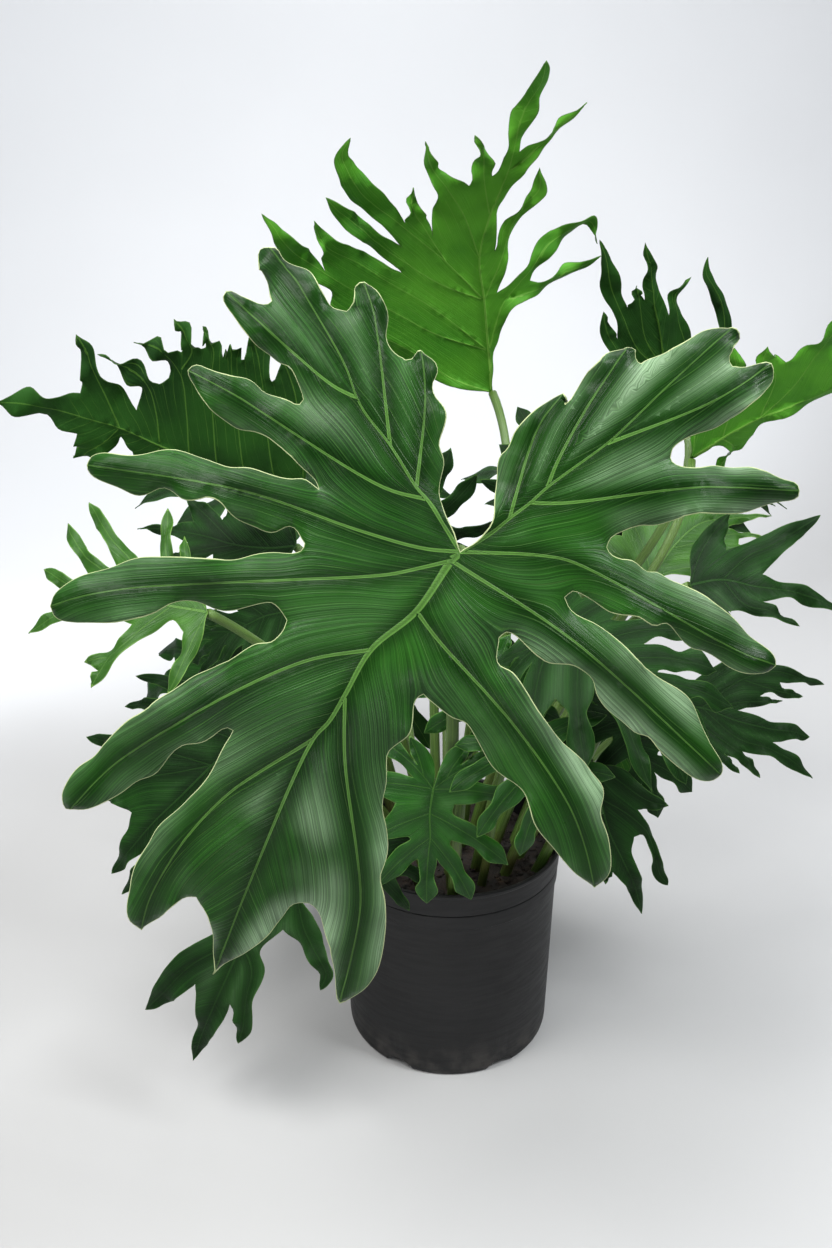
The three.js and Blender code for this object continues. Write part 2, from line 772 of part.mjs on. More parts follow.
      from: "end", fork: 1, notch: [25, 72],
      rib: [[14, 67, 9], [14, 100, 8], [17, 128, 7], [22, 147, 4], [26, 159, 0]],
    },
    low_b: {
      from: "end", fork: 0, notch: [32, 54],
      rib: [[13, 32, 11], [22, 57, 7], [30, 77, 6], [39, 87, 4], [44, 94, 0]],
    },
    low_c: {
      from: "end", fork: 0,
      rib: [[27, 30, 7], [36, 52, 4], [42, 65, 3], [46, 72, 0]],
    },
  },
  hanging_right: {
    right_a: {
      from: "end", fork: 0, notch: [-26, 55],
      rib: [[-16, 21, 10], [-31, 44, 8], [-42, 55, 6], [-48, 59, 3], [-52, 62, 0]],
    },
    right_b: {
      from: "end", fork: 1, notch: [-16, 77],
      rib: [[-17, 56, 7], [-28, 78, 4], [-29, 104, 4], [-29, 124, 5], [-32, 132, 3], [-33, 136, 0]],
    },
    end: {
      from: null, fork: 0, notch: [10, 102],
      rib: [[1, 33, 12], [3, 61, 13], [-1, 93, 10], [-5, 122, 7], [-5, 143, 4], [-5, 157, 0]],
    },
    left_a: {
      from: "end", fork: 1, notch: [22, 62],
      rib: [[12, 61, 7], [15, 86, 7], [17, 101, 4], [19, 111, 0]],
    },
    left_b: {
      from: "end", fork: 0,
      rib: [[16, 27, 8], [29, 51, 7], [36, 65, 4], [40, 74, 0]],
    },
  },
  left_dark: {
    lobe_c_back: {
      from: "end", fork: 0, notch: [-25, 36],
      rib: [[-24, 14, 9], [-51, 26, 0]],
    },
    lobe_b_back: {
      from: "end", fork: 1, notch: [-16, 75],
      rib: [[-27, 52, 10], [-43, 70, 0]],
    },
    lobe_a_back: {
      from: "end", fork: 2, notch: [-5, 103],
      rib: [[-13, 90, 9], [-21, 117, 0]],
    },
    end: {
      from: null, fork: 0, notch: [16, 103],
      rib: [[-5, 23, 0], [-5, 56, 0], [2, 88, 8], [7, 123, 6], [10, 162, 0]],
    },
    lobe_a: {
      from: "end", fork: 2, notch: [19, 75],
      rib: [[21, 90, 9], [41, 117, 0]],
    },
    lobe_b: {
      from: "end", fork: 1, notch: [20, 36],
      rib: [[22, 52, 10], [49, 70, 0]],
    },
    lobe_c: {
      from: "end", fork: 0,
      rib: [[24, 14, 9], [52, 26, 0]],
    },
  },
};

const JOINT = [0, 0];

function turned(length, angle) {
  return [length * Math.sin(angle), length * Math.cos(angle)];
}

function between(a, b, share) {
  return [lerp(a[0], b[0], share), lerp(a[1], b[1], share)];
}

function distance(a, b) {
  return Math.hypot(b[0] - a[0], b[1] - a[1]);
}

// How much the lobes of a leaf vary, and how their ribs bend. Angles in degrees, bends in radians.
const MIDRIB_SWAY = 0.012;
const SIDE_SCATTER = { angle: 5, reach: 0.09 };
const BACK_SCATTER = { angle: 6, reach: 0.08 };
const SIDE_BEND = 0.35;
const BACK_BEND = 0.5;
const FORK_BEND = 0.3;
const FORK_REACH = 0.56;
const NOTCH_SCATTER = 0.25;
const MARGIN_ROOM = 0.42;
const LOBE_WIDTHS = [0.85, 1, 0.68, 0.8];
const FORK_WIDTHS = [0.9, 0.8];

// A lobe from a root point: its rib leaves at one angle and bends to another on the way to its tip
function bentRib(root, length, angle, bend, widths) {
  const steps = widths.length + 1;
  const points = [];
  let last = root;
  for (let step = 1; step <= steps; step += 1) {
    const [x, y] = turned(length / steps, angle + bend * ((step - 0.5) / steps - 0.5));
    last = [last[0] + x, last[1] + y];
    points.push([...last, widths[step - 1] ?? 0]);
  }
  return points;
}

// Lobes of a cut leaf: back lobes that fork, side lobes along the midrib, and the end lobe
function cutLobes(shape, length, draw) {
  const swing = () => 2 * draw() - 1;
  const ragged = (widths) => {
    return widths.map((width) => width * length * shape.halfWidth * (1 + shape.ragged * swing()));
  };
  const sides = shape.sideLobes;
  const midrib = [];
  for (let index = 1; index < sides; index += 1) {
    const sway = length * MIDRIB_SWAY * Math.sin(index * 2.1);
    midrib.push([sway, (length * shape.rootSpan * index) / (sides - 1), 0]);
  }
  const endRoot = midrib.at(-1);
  const endLength = length - endRoot[1];
  const end = bentRib(endRoot, endLength, degrees(4 * swing()), degrees(9 * swing()), ragged(LOBE_WIDTHS));
  const rows = { left: [], right: [] };
  for (const [side, sign] of [["left", -1], ["right", 1]]) {
    for (let index = 0; index < sides; index += 1) {
      const share = index / (sides - 1);
      const root = index ? midrib[index - 1] : JOINT;
      const lean = lerp(shape.firstAngle, shape.lastAngle, share) + SIDE_SCATTER.angle * swing();
      const reach = lerp(shape.firstReach, shape.lastReach, share) * (1 + SIDE_SCATTER.reach * swing());
      const bend = -sign * SIDE_BEND;
      const rib = bentRib(root, length * reach, sign * degrees(lean), bend, ragged(LOBE_WIDTHS));
      rows[side].push([`${side}_${index}`, { from: "end", fork: index, rib }]);
    }
    const angle = sign * degrees(shape.backAngle + BACK_SCATTER.angle * swing());
    const reach = length * shape.backReach * (1 + BACK_SCATTER.reach * swing());
    const back = bentRib(JOINT, reach, angle, -sign * BACK_BEND, ragged(LOBE_WIDTHS));
    const forkAngle = angle + sign * degrees(shape.forkAngle);
    const fork = bentRib(back[0], reach * FORK_REACH, forkAngle, -sign * FORK_BEND, ragged(FORK_WIDTHS));
    rows[side].unshift([`${side}_back`, { from: "end", fork: 0, rib: back }]);
    rows[side].unshift([`${side}_fork`, { from: `${side}_back`, fork: 1, rib: fork }]);
  }
  const endRow = ["end", { from: null, fork: 0, rib: [...midrib, ...end] }];
  const table = Object.fromEntries([...rows.left, endRow, ...rows.right.reverse()]);
  addNotches(table, shape, draw);
  return table;
}

function addNotches(table, shape, draw) {
  const names = Object.keys(table);
  const ribs = ribsOf(table);
  for (let index = 0; index + 1 < names.length; index += 1) {
    const [before, after] = pathsApart(ribs, names[index], names[index + 1]);
    const depth = shape.notch * (1 + NOTCH_SCATTER * (2 * draw() - 1));
    const reach = depth * Math.min(pathLength(before), pathLength(after));
    const notch = between(polylineAt(before, reach), polylineAt(after, reach), 0.5);
    table[names[index]].notch = notch;
  }
}

// Ribs with their starting points, which lie on the ribs that they fork off
function ribsOf(table) {
  const ribs = {};
  const knotsOf = (name) => {
    const { from, fork, rib } = table[name];
    const start = from ? knotsOf(from)[fork] : JOINT;
    return [start, ...rib];
  };
  for (const name of Object.keys(table)) {
    ribs[name] = { ...table[name], points: knotsOf(name) };
  }
  return ribs;
}

function ribPath(ribs, name) {
  const rib = ribs[name];
  const own = rib.points.map((point, index) => ({ point, key: `${name}:${index}` }));
  if (!rib.from) return own;
  const trunk = ribPath(ribs, rib.from).slice(0, forkDepth(ribs, name));
  return [...trunk, ...own.slice(1)];
}

// How many points of the whole path from the joint come before this rib's own, the fork included
function forkDepth(ribs, name) {
  const { from, fork } = ribs[name];
  const before = ribs[from].from ? forkDepth(ribs, from) : 1;
  return before + fork;
}

// The paths of two neighbouring lobes from the last point that they share
function pathsApart(ribs, nameA, nameB) {
  const pathA = ribPath(ribs, nameA);
  const pathB = ribPath(ribs, nameB);
  let shared = 0;
  while (pathA[shared]?.key === pathB[shared]?.key) shared += 1;
  return [pathA, pathB].map((path) => path.slice(shared - 1).map((entry) => entry.point));
}

function pathLength(points) {
  return points.slice(1).reduce((sum, point, index) => sum + distance(points[index], point), 0);
}

function polylineAt(points, target) {
  let index = 1;
  let before = 0;
  let span = distance(points[0], points[1]);
  while (index < points.length - 1 && before + span < target) {
    before += span;
    index += 1;
    span = distance(points[index - 1], points[index]);
  }
  return between(points[index - 1], points[index], (target - before) / span);
}

function distanceToPath(point, path) {
  const spots = path.slice(1).map((end, index) => {
    const start = path[index];
    const run = distance(start, end);
    const along = (point[0] - start[0]) * (end[0] - start[0]) + (point[1] - start[1]) * (end[1] - start[1]);
    return between(start, end, THREE.MathUtils.clamp(along / (run * run), 0, 1));
  });
  return Math.min(...spots.map((spot) => distance(point, spot)));
}

// One margin of a lobe: its rib's points moved sideways by the lobe's half-width there, or by less where
// the neighbouring rib is close. Side is 1 for the clockwise side of the rib. Points nearer the start than
// the notch are left out.
function margin(path, side, clear, neighbour) {
  const points = [];
  let run = 0;
  for (let index = 1; index + 1 < path.length; index += 1) {
    run += distance(path[index - 1], path[index]);
    const [x, y, half] = path[index];
    if (!half || run < clear) continue;
    const [behind, ahead] = [path[index - 1], path[index + 1]];
    const room = neighbour ? MARGIN_ROOM * distanceToPath(path[index], neighbour) : half;
    const reach = (side * Math.min(half, room)) / distance(behind, ahead);
    points.push([x + (ahead[1] - behind[1]) * reach, y - (ahead[0] - behind[0]) * reach]);
  }
  return points;
}

// A plan with every lobe's margins, drawn or grown from the widths of its lobes
function planOf(table) {
  const lobes = Object.keys(table);
  const ribs = ribsOf(table);
  if (table[lobes[0]].rise) return { lobes, ribs };
  const whole = (name) => ribPath(ribs, name).map((entry) => entry.point);
  ribs[lobes[0]].rise = margin(whole(lobes[0]), -1, 0);
  ribs[lobes.at(-1)].fall = [...margin(whole(lobes.at(-1)), 1, 0).reverse(), JOINT];
  for (let index = 0; index + 1 < lobes.length; index += 1) {
    const { notch } = table[lobes[index]];
    const [before, after] = pathsApart(ribs, lobes[index], lobes[index + 1]);
    const clear = distance(before[0], notch) * NOTCH_CLEAR;
    ribs[lobes[index]].fall = [...margin(before, 1, clear, after).reverse(), notch];
    ribs[lobes[index + 1]].rise = margin(after, -1, clear, before);
  }
  return { lobes, ribs };
}

// Blades: the plan laid out as a sheet of points and triangles, then bent, and given its thickness

function drawnCurve(points) {
  const knots = points.map(([x, y]) => new THREE.Vector3(x, y, 0));
  if (knots.length === 2) return [knots[0], knots[1]];
  const curve = new THREE.CatmullRomCurve3(knots, false, "centripetal");
  return curve.getPoints(SPLINE_STEPS * (knots.length - 1));
}

function pathLengths(points) {
  const lengths = [0];
  for (let index = 1; index < points.length; index += 1) {
    lengths.push(lengths[index - 1] + points[index].distanceTo(points[index - 1]));
  }
  return lengths;
}

// Picks the points that keep a curve within a tolerance, and halves stretches that are too long
function keptPoints(points, tolerance, longest) {
  const lengths = pathLengths(points);
  const kept = new Set([0, points.length - 1]);
  const split = (first, last) => {
    if (last - first < 2) return;
    const chord = new THREE.Line3(points[first], points[last]);
    const foot = new THREE.Vector3();
    let furthest = first;
    let most = 0;
    for (let index = first + 1; index < last; index += 1) {
      const away = chord.closestPointToPoint(points[index], true, foot).distanceTo(points[index]);
      if (away > most) {
        most = away;
        furthest = index;
      }
    }
    if (most < tolerance) {
      if (lengths[last] - lengths[first] < longest) return;
      furthest = Math.round((first + last) / 2);
    }
    kept.add(furthest);
    split(first, furthest);
    split(furthest, last);
  };
  split(0, points.length - 1);
  return [...kept].sort((a, b) => a - b);
}

function turnOf(a, b, c) {
  return (b.x - a.x) * (c.y - a.y) - (b.y - a.y) * (c.x - a.x);
}

// Cuts a flat polygon into triangles, each time at the corner that needs the shortest new edge
function cutIntoTriangles(polygon) {
  const area = polygon.reduce((sum, point, index) => {
    const next = polygon[(index + 1) % polygon.length];
    return sum + point.x * next.y - next.x * point.y;
  }, 0);
  const left = area > 0 ? [...polygon] : [...polygon].reverse();
  const triangles = [];
  while (left.length > 3) {
    let best = null;
    left.forEach((corner, index) => {
      const before = left.at(index - 1);
      const after = left[(index + 1) % left.length];
      const span = Math.hypot(after.x - before.x, after.y - before.y);
      const height = turnOf(before, corner, after) / span;
      const cost = height > THINNEST_CORNER ? span : LONGEST_EDGE / Math.max(height, 1e-9);
      if (height < 0 || (best && best.cost <= cost)) return;
      const inside = left.some((point) => {
        if (point === before || point === corner || point === after) return false;
        const turns = [
          turnOf(before, corner, point),
          turnOf(corner, after, point),
          turnOf(after, before, point),
        ];
        return Math.min(...turns) >= 0;
      });
      if (!inside) best = { index, cost, face: [before, corner, after] };
    });
    if (!best) throw new Error("A leaf's outline crosses itself");
    triangles.push(best.face);
    left.splice(best.index, 1);
  }
  triangles.push(left);
  return triangles.map((face) => face.map((point) => point.id));
}

class BladeSheet {
  constructor(plan, detail, ribShare) {
    this.plan = plan;
    this.detail = detail;
    this.ribShare = ribShare;
    this.points = [];
    this.triangles = [];
    this.ribPoints = new Map();
    plan.lobes.forEach((name) => this.sampleRib(name));
    const paths = plan.lobes.map((name) => this.pathTo(name));
    const joint = this.points[0];
    const last = plan.lobes.length - 1;
    this.fillHalf(paths[0], this.marginOf(0, joint, true));
    for (let index = 0; index < last; index += 1) {
      const shared = sharedCount(paths[index], paths[index + 1]);
      const [x, y] = plan.ribs[plan.lobes[index]].fall.at(-1);
      const notch = this.addPoint(x, y, 1);
      this.fillHalf(paths[index].slice(shared - 1), this.marginOf(index, notch, false));
      this.fillHalf(paths[index + 1].slice(shared - 1), this.marginOf(index + 1, notch, true));
    }
    this.fillHalf(paths[last], this.marginOf(last, joint, false));
  }

  addPoint(x, y, across, depth = 0, wave = 0) {
    const point = { id: this.points.length, x, y, across, depth, wave };
    this.points.push(point);
    return point;
  }

  // Samples a rib between the points where other ribs fork off it
  sampleRib(name) {
    if (this.ribPoints.has(name)) return this.ribPoints.get(name);
    const rib = this.plan.ribs[name];
    const forks = Object.values(this.plan.ribs).filter((other) => other.from === name);
    const anchors = [...new Set([0, ...forks.map((other) => other.fork), rib.points.length - 1])];
    anchors.sort((a, b) => a - b);
    const dense = drawnCurve(rib.points);
    const perKnot = (dense.length - 1) / (rib.points.length - 1);
    const runs = pathLengths(dense);
    const start = rib.from ? this.sampleRib(rib.from).at.get(rib.fork) : null;
    const rootDepth = (rib.from ? SIDE_RIB_DEPTH : MIDRIB_DEPTH) * this.ribShare;
    const samples = [start ?? this.addPoint(0, 0, 0, rootDepth)];
    const at = new Map([[0, samples[0]]]);
    for (let index = 1; index < anchors.length; index += 1) {
      const first = anchors[index - 1] * perKnot;
      const stretch = dense.slice(first, anchors[index] * perKnot + 1);
      for (const kept of keptPoints(stretch, RIB_TOLERANCE, LONGEST_RIB_STEP).slice(1)) {
        const share = runs[first + kept] / runs.at(-1);
        const depth = lerp(rootDepth, RIB_TIP_DEPTH, Math.sqrt(share));
        samples.push(this.addPoint(stretch[kept].x, stretch[kept].y, 0, depth));
      }
      at.set(anchors[index], samples.at(-1));
    }
    this.ribPoints.set(name, { samples, at });
    return this.ribPoints.get(name);
  }

  pathTo(name) {
    const rib = this.plan.ribs[name];
    const { samples } = this.ribPoints.get(name);
    if (!rib.from) return samples;
    const trunk = this.pathTo(rib.from);
    const fork = trunk.indexOf(samples[0]);
    return [...trunk.slice(0, fork + 1), ...samples.slice(1)];
  }

  // Points of one margin of a lobe, from its notch to just before its tip. Margins wave up and down.
  marginOf(lobe, notch, rising) {
    const { rise, fall, points } = this.plan.ribs[this.plan.lobes[lobe]];
    const knots = rising ? rise : fall.slice(0, -1).reverse();
    const dense = drawnCurve([[notch.x, notch.y], ...knots, points.at(-1)]);
    const runs = pathLengths(dense);
    const kept = keptPoints(dense, this.detail, LONGEST_MARGIN_STEP).slice(1, -1);
    const shift = lobe * WAVE_SHIFT_PER_LOBE + (rising ? 0 : WAVE_SHIFT_FALLING);
    const edge = kept.map((index) => {
      const share = runs[index] / runs.at(-1);
      const swing = Math.sin(2 * Math.PI * WAVES_PER_MARGIN * share + shift);
      return this.addPoint(dense[index].x, dense[index].y, 1, 0, Math.sin(Math.PI * share) * swing);
    });
    return [notch, ...edge];
  }

  // Fills the strip between a rib and one margin of its lobe, from the notch out to the tip
  fillHalf(path, edge) {
    const outward = edge[0] === path[0] ? edge.slice(1) : edge;
    this.triangles.push(...cutIntoTriangles([...path, ...outward.reverse()]));
  }
}

function sharedCount(pathA, pathB) {
  let count = 0;
  while (count < pathA.length && pathA[count] === pathB[count]) count += 1;
  return count;
}

// Directions across the sheet, each point's own faces averaged with those of its neighbours
function smoothNormals(points, triangles) {
  const sums = points.map(() => new THREE.Vector3());
  for (const [a, b, c] of triangles) {
    const first = points[b].clone().sub(points[a]);
    const face = first.cross(points[c].clone().sub(points[a]));
    [a, b, c].forEach((id) => sums[id].add(face));
  }
  const normals = points.map(() => new THREE.Vector3());
  for (const corners of triangles) {
    const total = new THREE.Vector3();
    corners.forEach((id) => total.add(sums[id]));
    corners.forEach((id) => normals[id].add(total));
  }
  return normals.map((normal) => normal.normalize());
}

// Gives a bent sheet its thickness: the upper face, the lower face with its ribs, and the cut edge
function thickened(sheet, bend) {
  const middle = sheet.points.map((point) => bend(point));
  const normals = smoothNormals(middle, sheet.triangles);
  const upper = middle.map((point, id) => point.clone().addScaledVector(normals[id], BLADE_HALF_THICKNESS));
  const lower = middle.map((point, id) => {
    const depth = BLADE_HALF_THICKNESS + sheet.points[id].depth;
    return point.clone().addScaledVector(normals[id], -depth);
  });
  const count = middle.length;
  const triangles = [];
  const edges = new Map();
  for (const [a, b, c] of sheet.triangles) {
    triangles.push([a, b, c], [c + count, b + count, a + count]);
    for (const [from, to] of [[a, b], [b, c], [c, a]]) edges.set(`${from}_${to}`, [from, to]);
  }
  for (const [from, to] of edges.values()) {
    if (edges.has(`${to}_${from}`)) continue;
    triangles.push([from, from + count, to + count], [from, to + count, to]);
  }
  return meshGeometry([...upper, ...lower], triangles);
}

function bendFront(point) {
  const { x, y, wave, across } = point;
  const reach = Math.hypot(x, y);
  let rise = -FRONT_DROOP * reach * reach;
  if (y < FRONT_FALL_START) rise -= FRONT_FALL * (y - FRONT_FALL_START) ** 2;
  rise += FRONT_WAVE * wave - FRONT_CURL * across * across * Math.min(1, reach / FRONT_CURL_START);
  const flat = new THREE.Vector3(x, y, 0);
  return flat.lerp(FRONT_FOCUS, rise / FRONT_FOCUS.z);
}

function bendBy(leaf) {
  const arch = degrees(leaf.arch) / leaf.length;
  const droop = degrees(leaf.droop) / leaf.length;
  return ({ x, y, wave }) => {
    const reach = Math.hypot(x, y) / leaf.length;
    const height =
      -(1 - Math.cos(arch * y)) / arch -
      (1 - Math.cos(droop * x)) / droop +
      leaf.fold * (Math.hypot(x, FOLD_SOFTNESS) - FOLD_SOFTNESS) -
      leaf.tipDrop * leaf.length * reach ** 3 +
      leaf.wave * leaf.length * wave;
    return new THREE.Vector3(Math.sin(droop * x) / droop, Math.sin(arch * y) / arch, height);
  };
}

// Small blades have thinner ribs
function ribShareOf(leaf) {
  return Math.min(1, leaf.length / FULL_RIBS_LENGTH);
}

function direction([azimuth, elevation]) {
  const level = Math.cos(degrees(elevation));
  return new THREE.Vector3(
    level * Math.cos(degrees(azimuth)),
    level * Math.sin(degrees(azimuth)),
    Math.sin(degrees(elevation)),
  );
}

// Turns a blade so that its end lobe points along the aim and its upper face looks along the face direction
function bladeTurn(leaf) {
  const along = direction(leaf.aim);
  const side = along.clone().cross(direction(leaf.face)).normalize();
  return new THREE.Matrix4().makeBasis(side, along, side.clone().cross(along));
}

// Stems stand in rings round the middle of the soil
function footPlace([ring, slot]) {
  const { radius, count } = FOOT_RINGS[ring];
  const angle = (2 * Math.PI * slot) / count - Math.PI / 2;
  return [radius * Math.cos(angle), radius * Math.sin(angle)];
}

// Stems: a tapering tube from the soil to just under the blade's joint, its end cut parallel to the blade

function stemCurve(leaf, turn) {
  const joint = new THREE.Vector3(...leaf.joint);
  const along = new THREE.Vector3().setFromMatrixColumn(turn, 1);
  const face = new THREE.Vector3().setFromMatrixColumn(turn, 2);
  const drop = BLADE_HALF_THICKNESS + MIDRIB_DEPTH * ribShareOf(leaf) + CLEARANCE;
  const end = joint.clone().addScaledVector(face, -drop);
  const arrive = face.clone().multiplyScalar(STEM_ARRIVAL).addScaledVector(along, leaf.carry).normalize();
  const [footX, footY] = footPlace(leaf.foot);
  const foot = new THREE.Vector3(footX, footY, SOIL_LEVEL - STEM_SINK);
  const span = foot.distanceTo(end);
  const leave = new THREE.Vector3(footX * STEM_LEAN, footY * STEM_LEAN, 1).normalize();
  const curve = new THREE.CubicBezierCurve3(
    foot,
    foot.clone().addScaledVector(leave, span * STEM_RISE),
    end.clone().addScaledVector(arrive, -span * leaf.swoop),
    end,
  );
  return { curve, arrive, face, end };
}

function stemRings(leaf, turn, grow) {
  const { curve, arrive, face, end } = stemCurve(leaf, turn);
  const frames = curve.computeFrenetFrames(STEM_RINGS, false);
  const rings = [];
  for (let ring = 0; ring <= STEM_RINGS; ring += 1) {
    const share = ring / STEM_RINGS;
    const centre = curve.getPointAt(share);
    const radius = lerp(STEM_BASE_RADIUS, STEM_TIP_RADIUS, share) * leaf.stem + grow;
    const points = [];
    for (let side = 0; side < STEM_SIDES; side += 1) {
      const angle = (2 * Math.PI * side) / STEM_SIDES;
      const spot = centre.clone();
      spot.addScaledVector(frames.normals[ring], radius * Math.cos(angle));
      spot.addScaledVector(frames.binormals[ring], radius * Math.sin(angle));
      if (ring === STEM_RINGS) {
        const toPlane = end.clone().sub(spot).dot(face) / arrive.dot(face);
        spot.addScaledVector(arrive, toPlane);
      }
      points.push(spot);
    }
    rings.push(points);
  }
  return rings;
}

function tubeGeometry(rings) {
  const points = rings.flat();
  const triangles = [];
  const sides = STEM_SIDES;
  for (let ring = 0; ring + 1 < rings.length; ring += 1) {
    for (let side = 0; side < sides; side += 1) {
      const a = ring * sides + side;
      const b = ring * sides + ((side + 1) % sides);
      triangles.push([a, b, b + sides], [a, b + sides, a + sides]);
    }
  }
  const last = (rings.length - 1) * sides;
  for (let side = 1; side + 1 < sides; side += 1) {
    triangles.push([0, side + 1, side], [last, last + side, last + side + 1]);
  }
  return meshGeometry(points, triangles);
}

function stemHole(leaf, turn) {
  const rings = stemRings(leaf, turn, HOLE_CLEARANCE);
  const clear = rings.findIndex((ring) => ring.every((point) => point.z > SOIL_LEVEL + HOLE_ABOVE_SOIL));
  const cut = rings.slice(0, clear + 1);
  cut[0].forEach((point) => {
    point.z -= HOLE_SINK;
  });
  return solidOf(tubeGeometry(cut));
}

// Kinds of cut leaf. Angles are from the end lobe, reaches and widths are shares of the blade's length.
const SHAPES = {
  broad: {
    sideLobes: 4, rootSpan: 0.5, firstAngle: 98, lastAngle: 40, firstReach: 0.9, lastReach: 0.64,
    backAngle: 132, backReach: 0.78, forkAngle: 26, halfWidth: 0.1, notch: 0.4, ragged: 0.2,
  },
  upright: {
    sideLobes: 4, rootSpan: 0.52, firstAngle: 66, lastAngle: 28, firstReach: 0.86, lastReach: 0.58,
    backAngle: 98, backReach: 0.64, forkAngle: 26, halfWidth: 0.085, notch: 0.44, ragged: 0.3,
  },
  small: {
    sideLobes: 3, rootSpan: 0.4, firstAngle: 86, lastAngle: 40, firstReach: 0.8, lastReach: 0.66,
    backAngle: 124, backReach: 0.62, forkAngle: 28, halfWidth: 0.1, notch: 0.4, ragged: 0.2,
  },
};

const CALM = {
  arch: 40, droop: 30, fold: 0.15, tipDrop: 0.05, wave: 0.03, carry: 0.3, swoop: 0.3, stem: 1, tone: "deep",
};

// The front leaf faces the viewer and leans back a little
const FRONT_LEAF = {
  ...CALM,
  name: "front",
  tone: "front",
  length: 430,
  joint: [-7, -348, 613],
  aim: [90, 67.7],
  face: [-90, 22.3],
  foot: [1, 0],
  carry: 0,
  stem: 1.15,
};

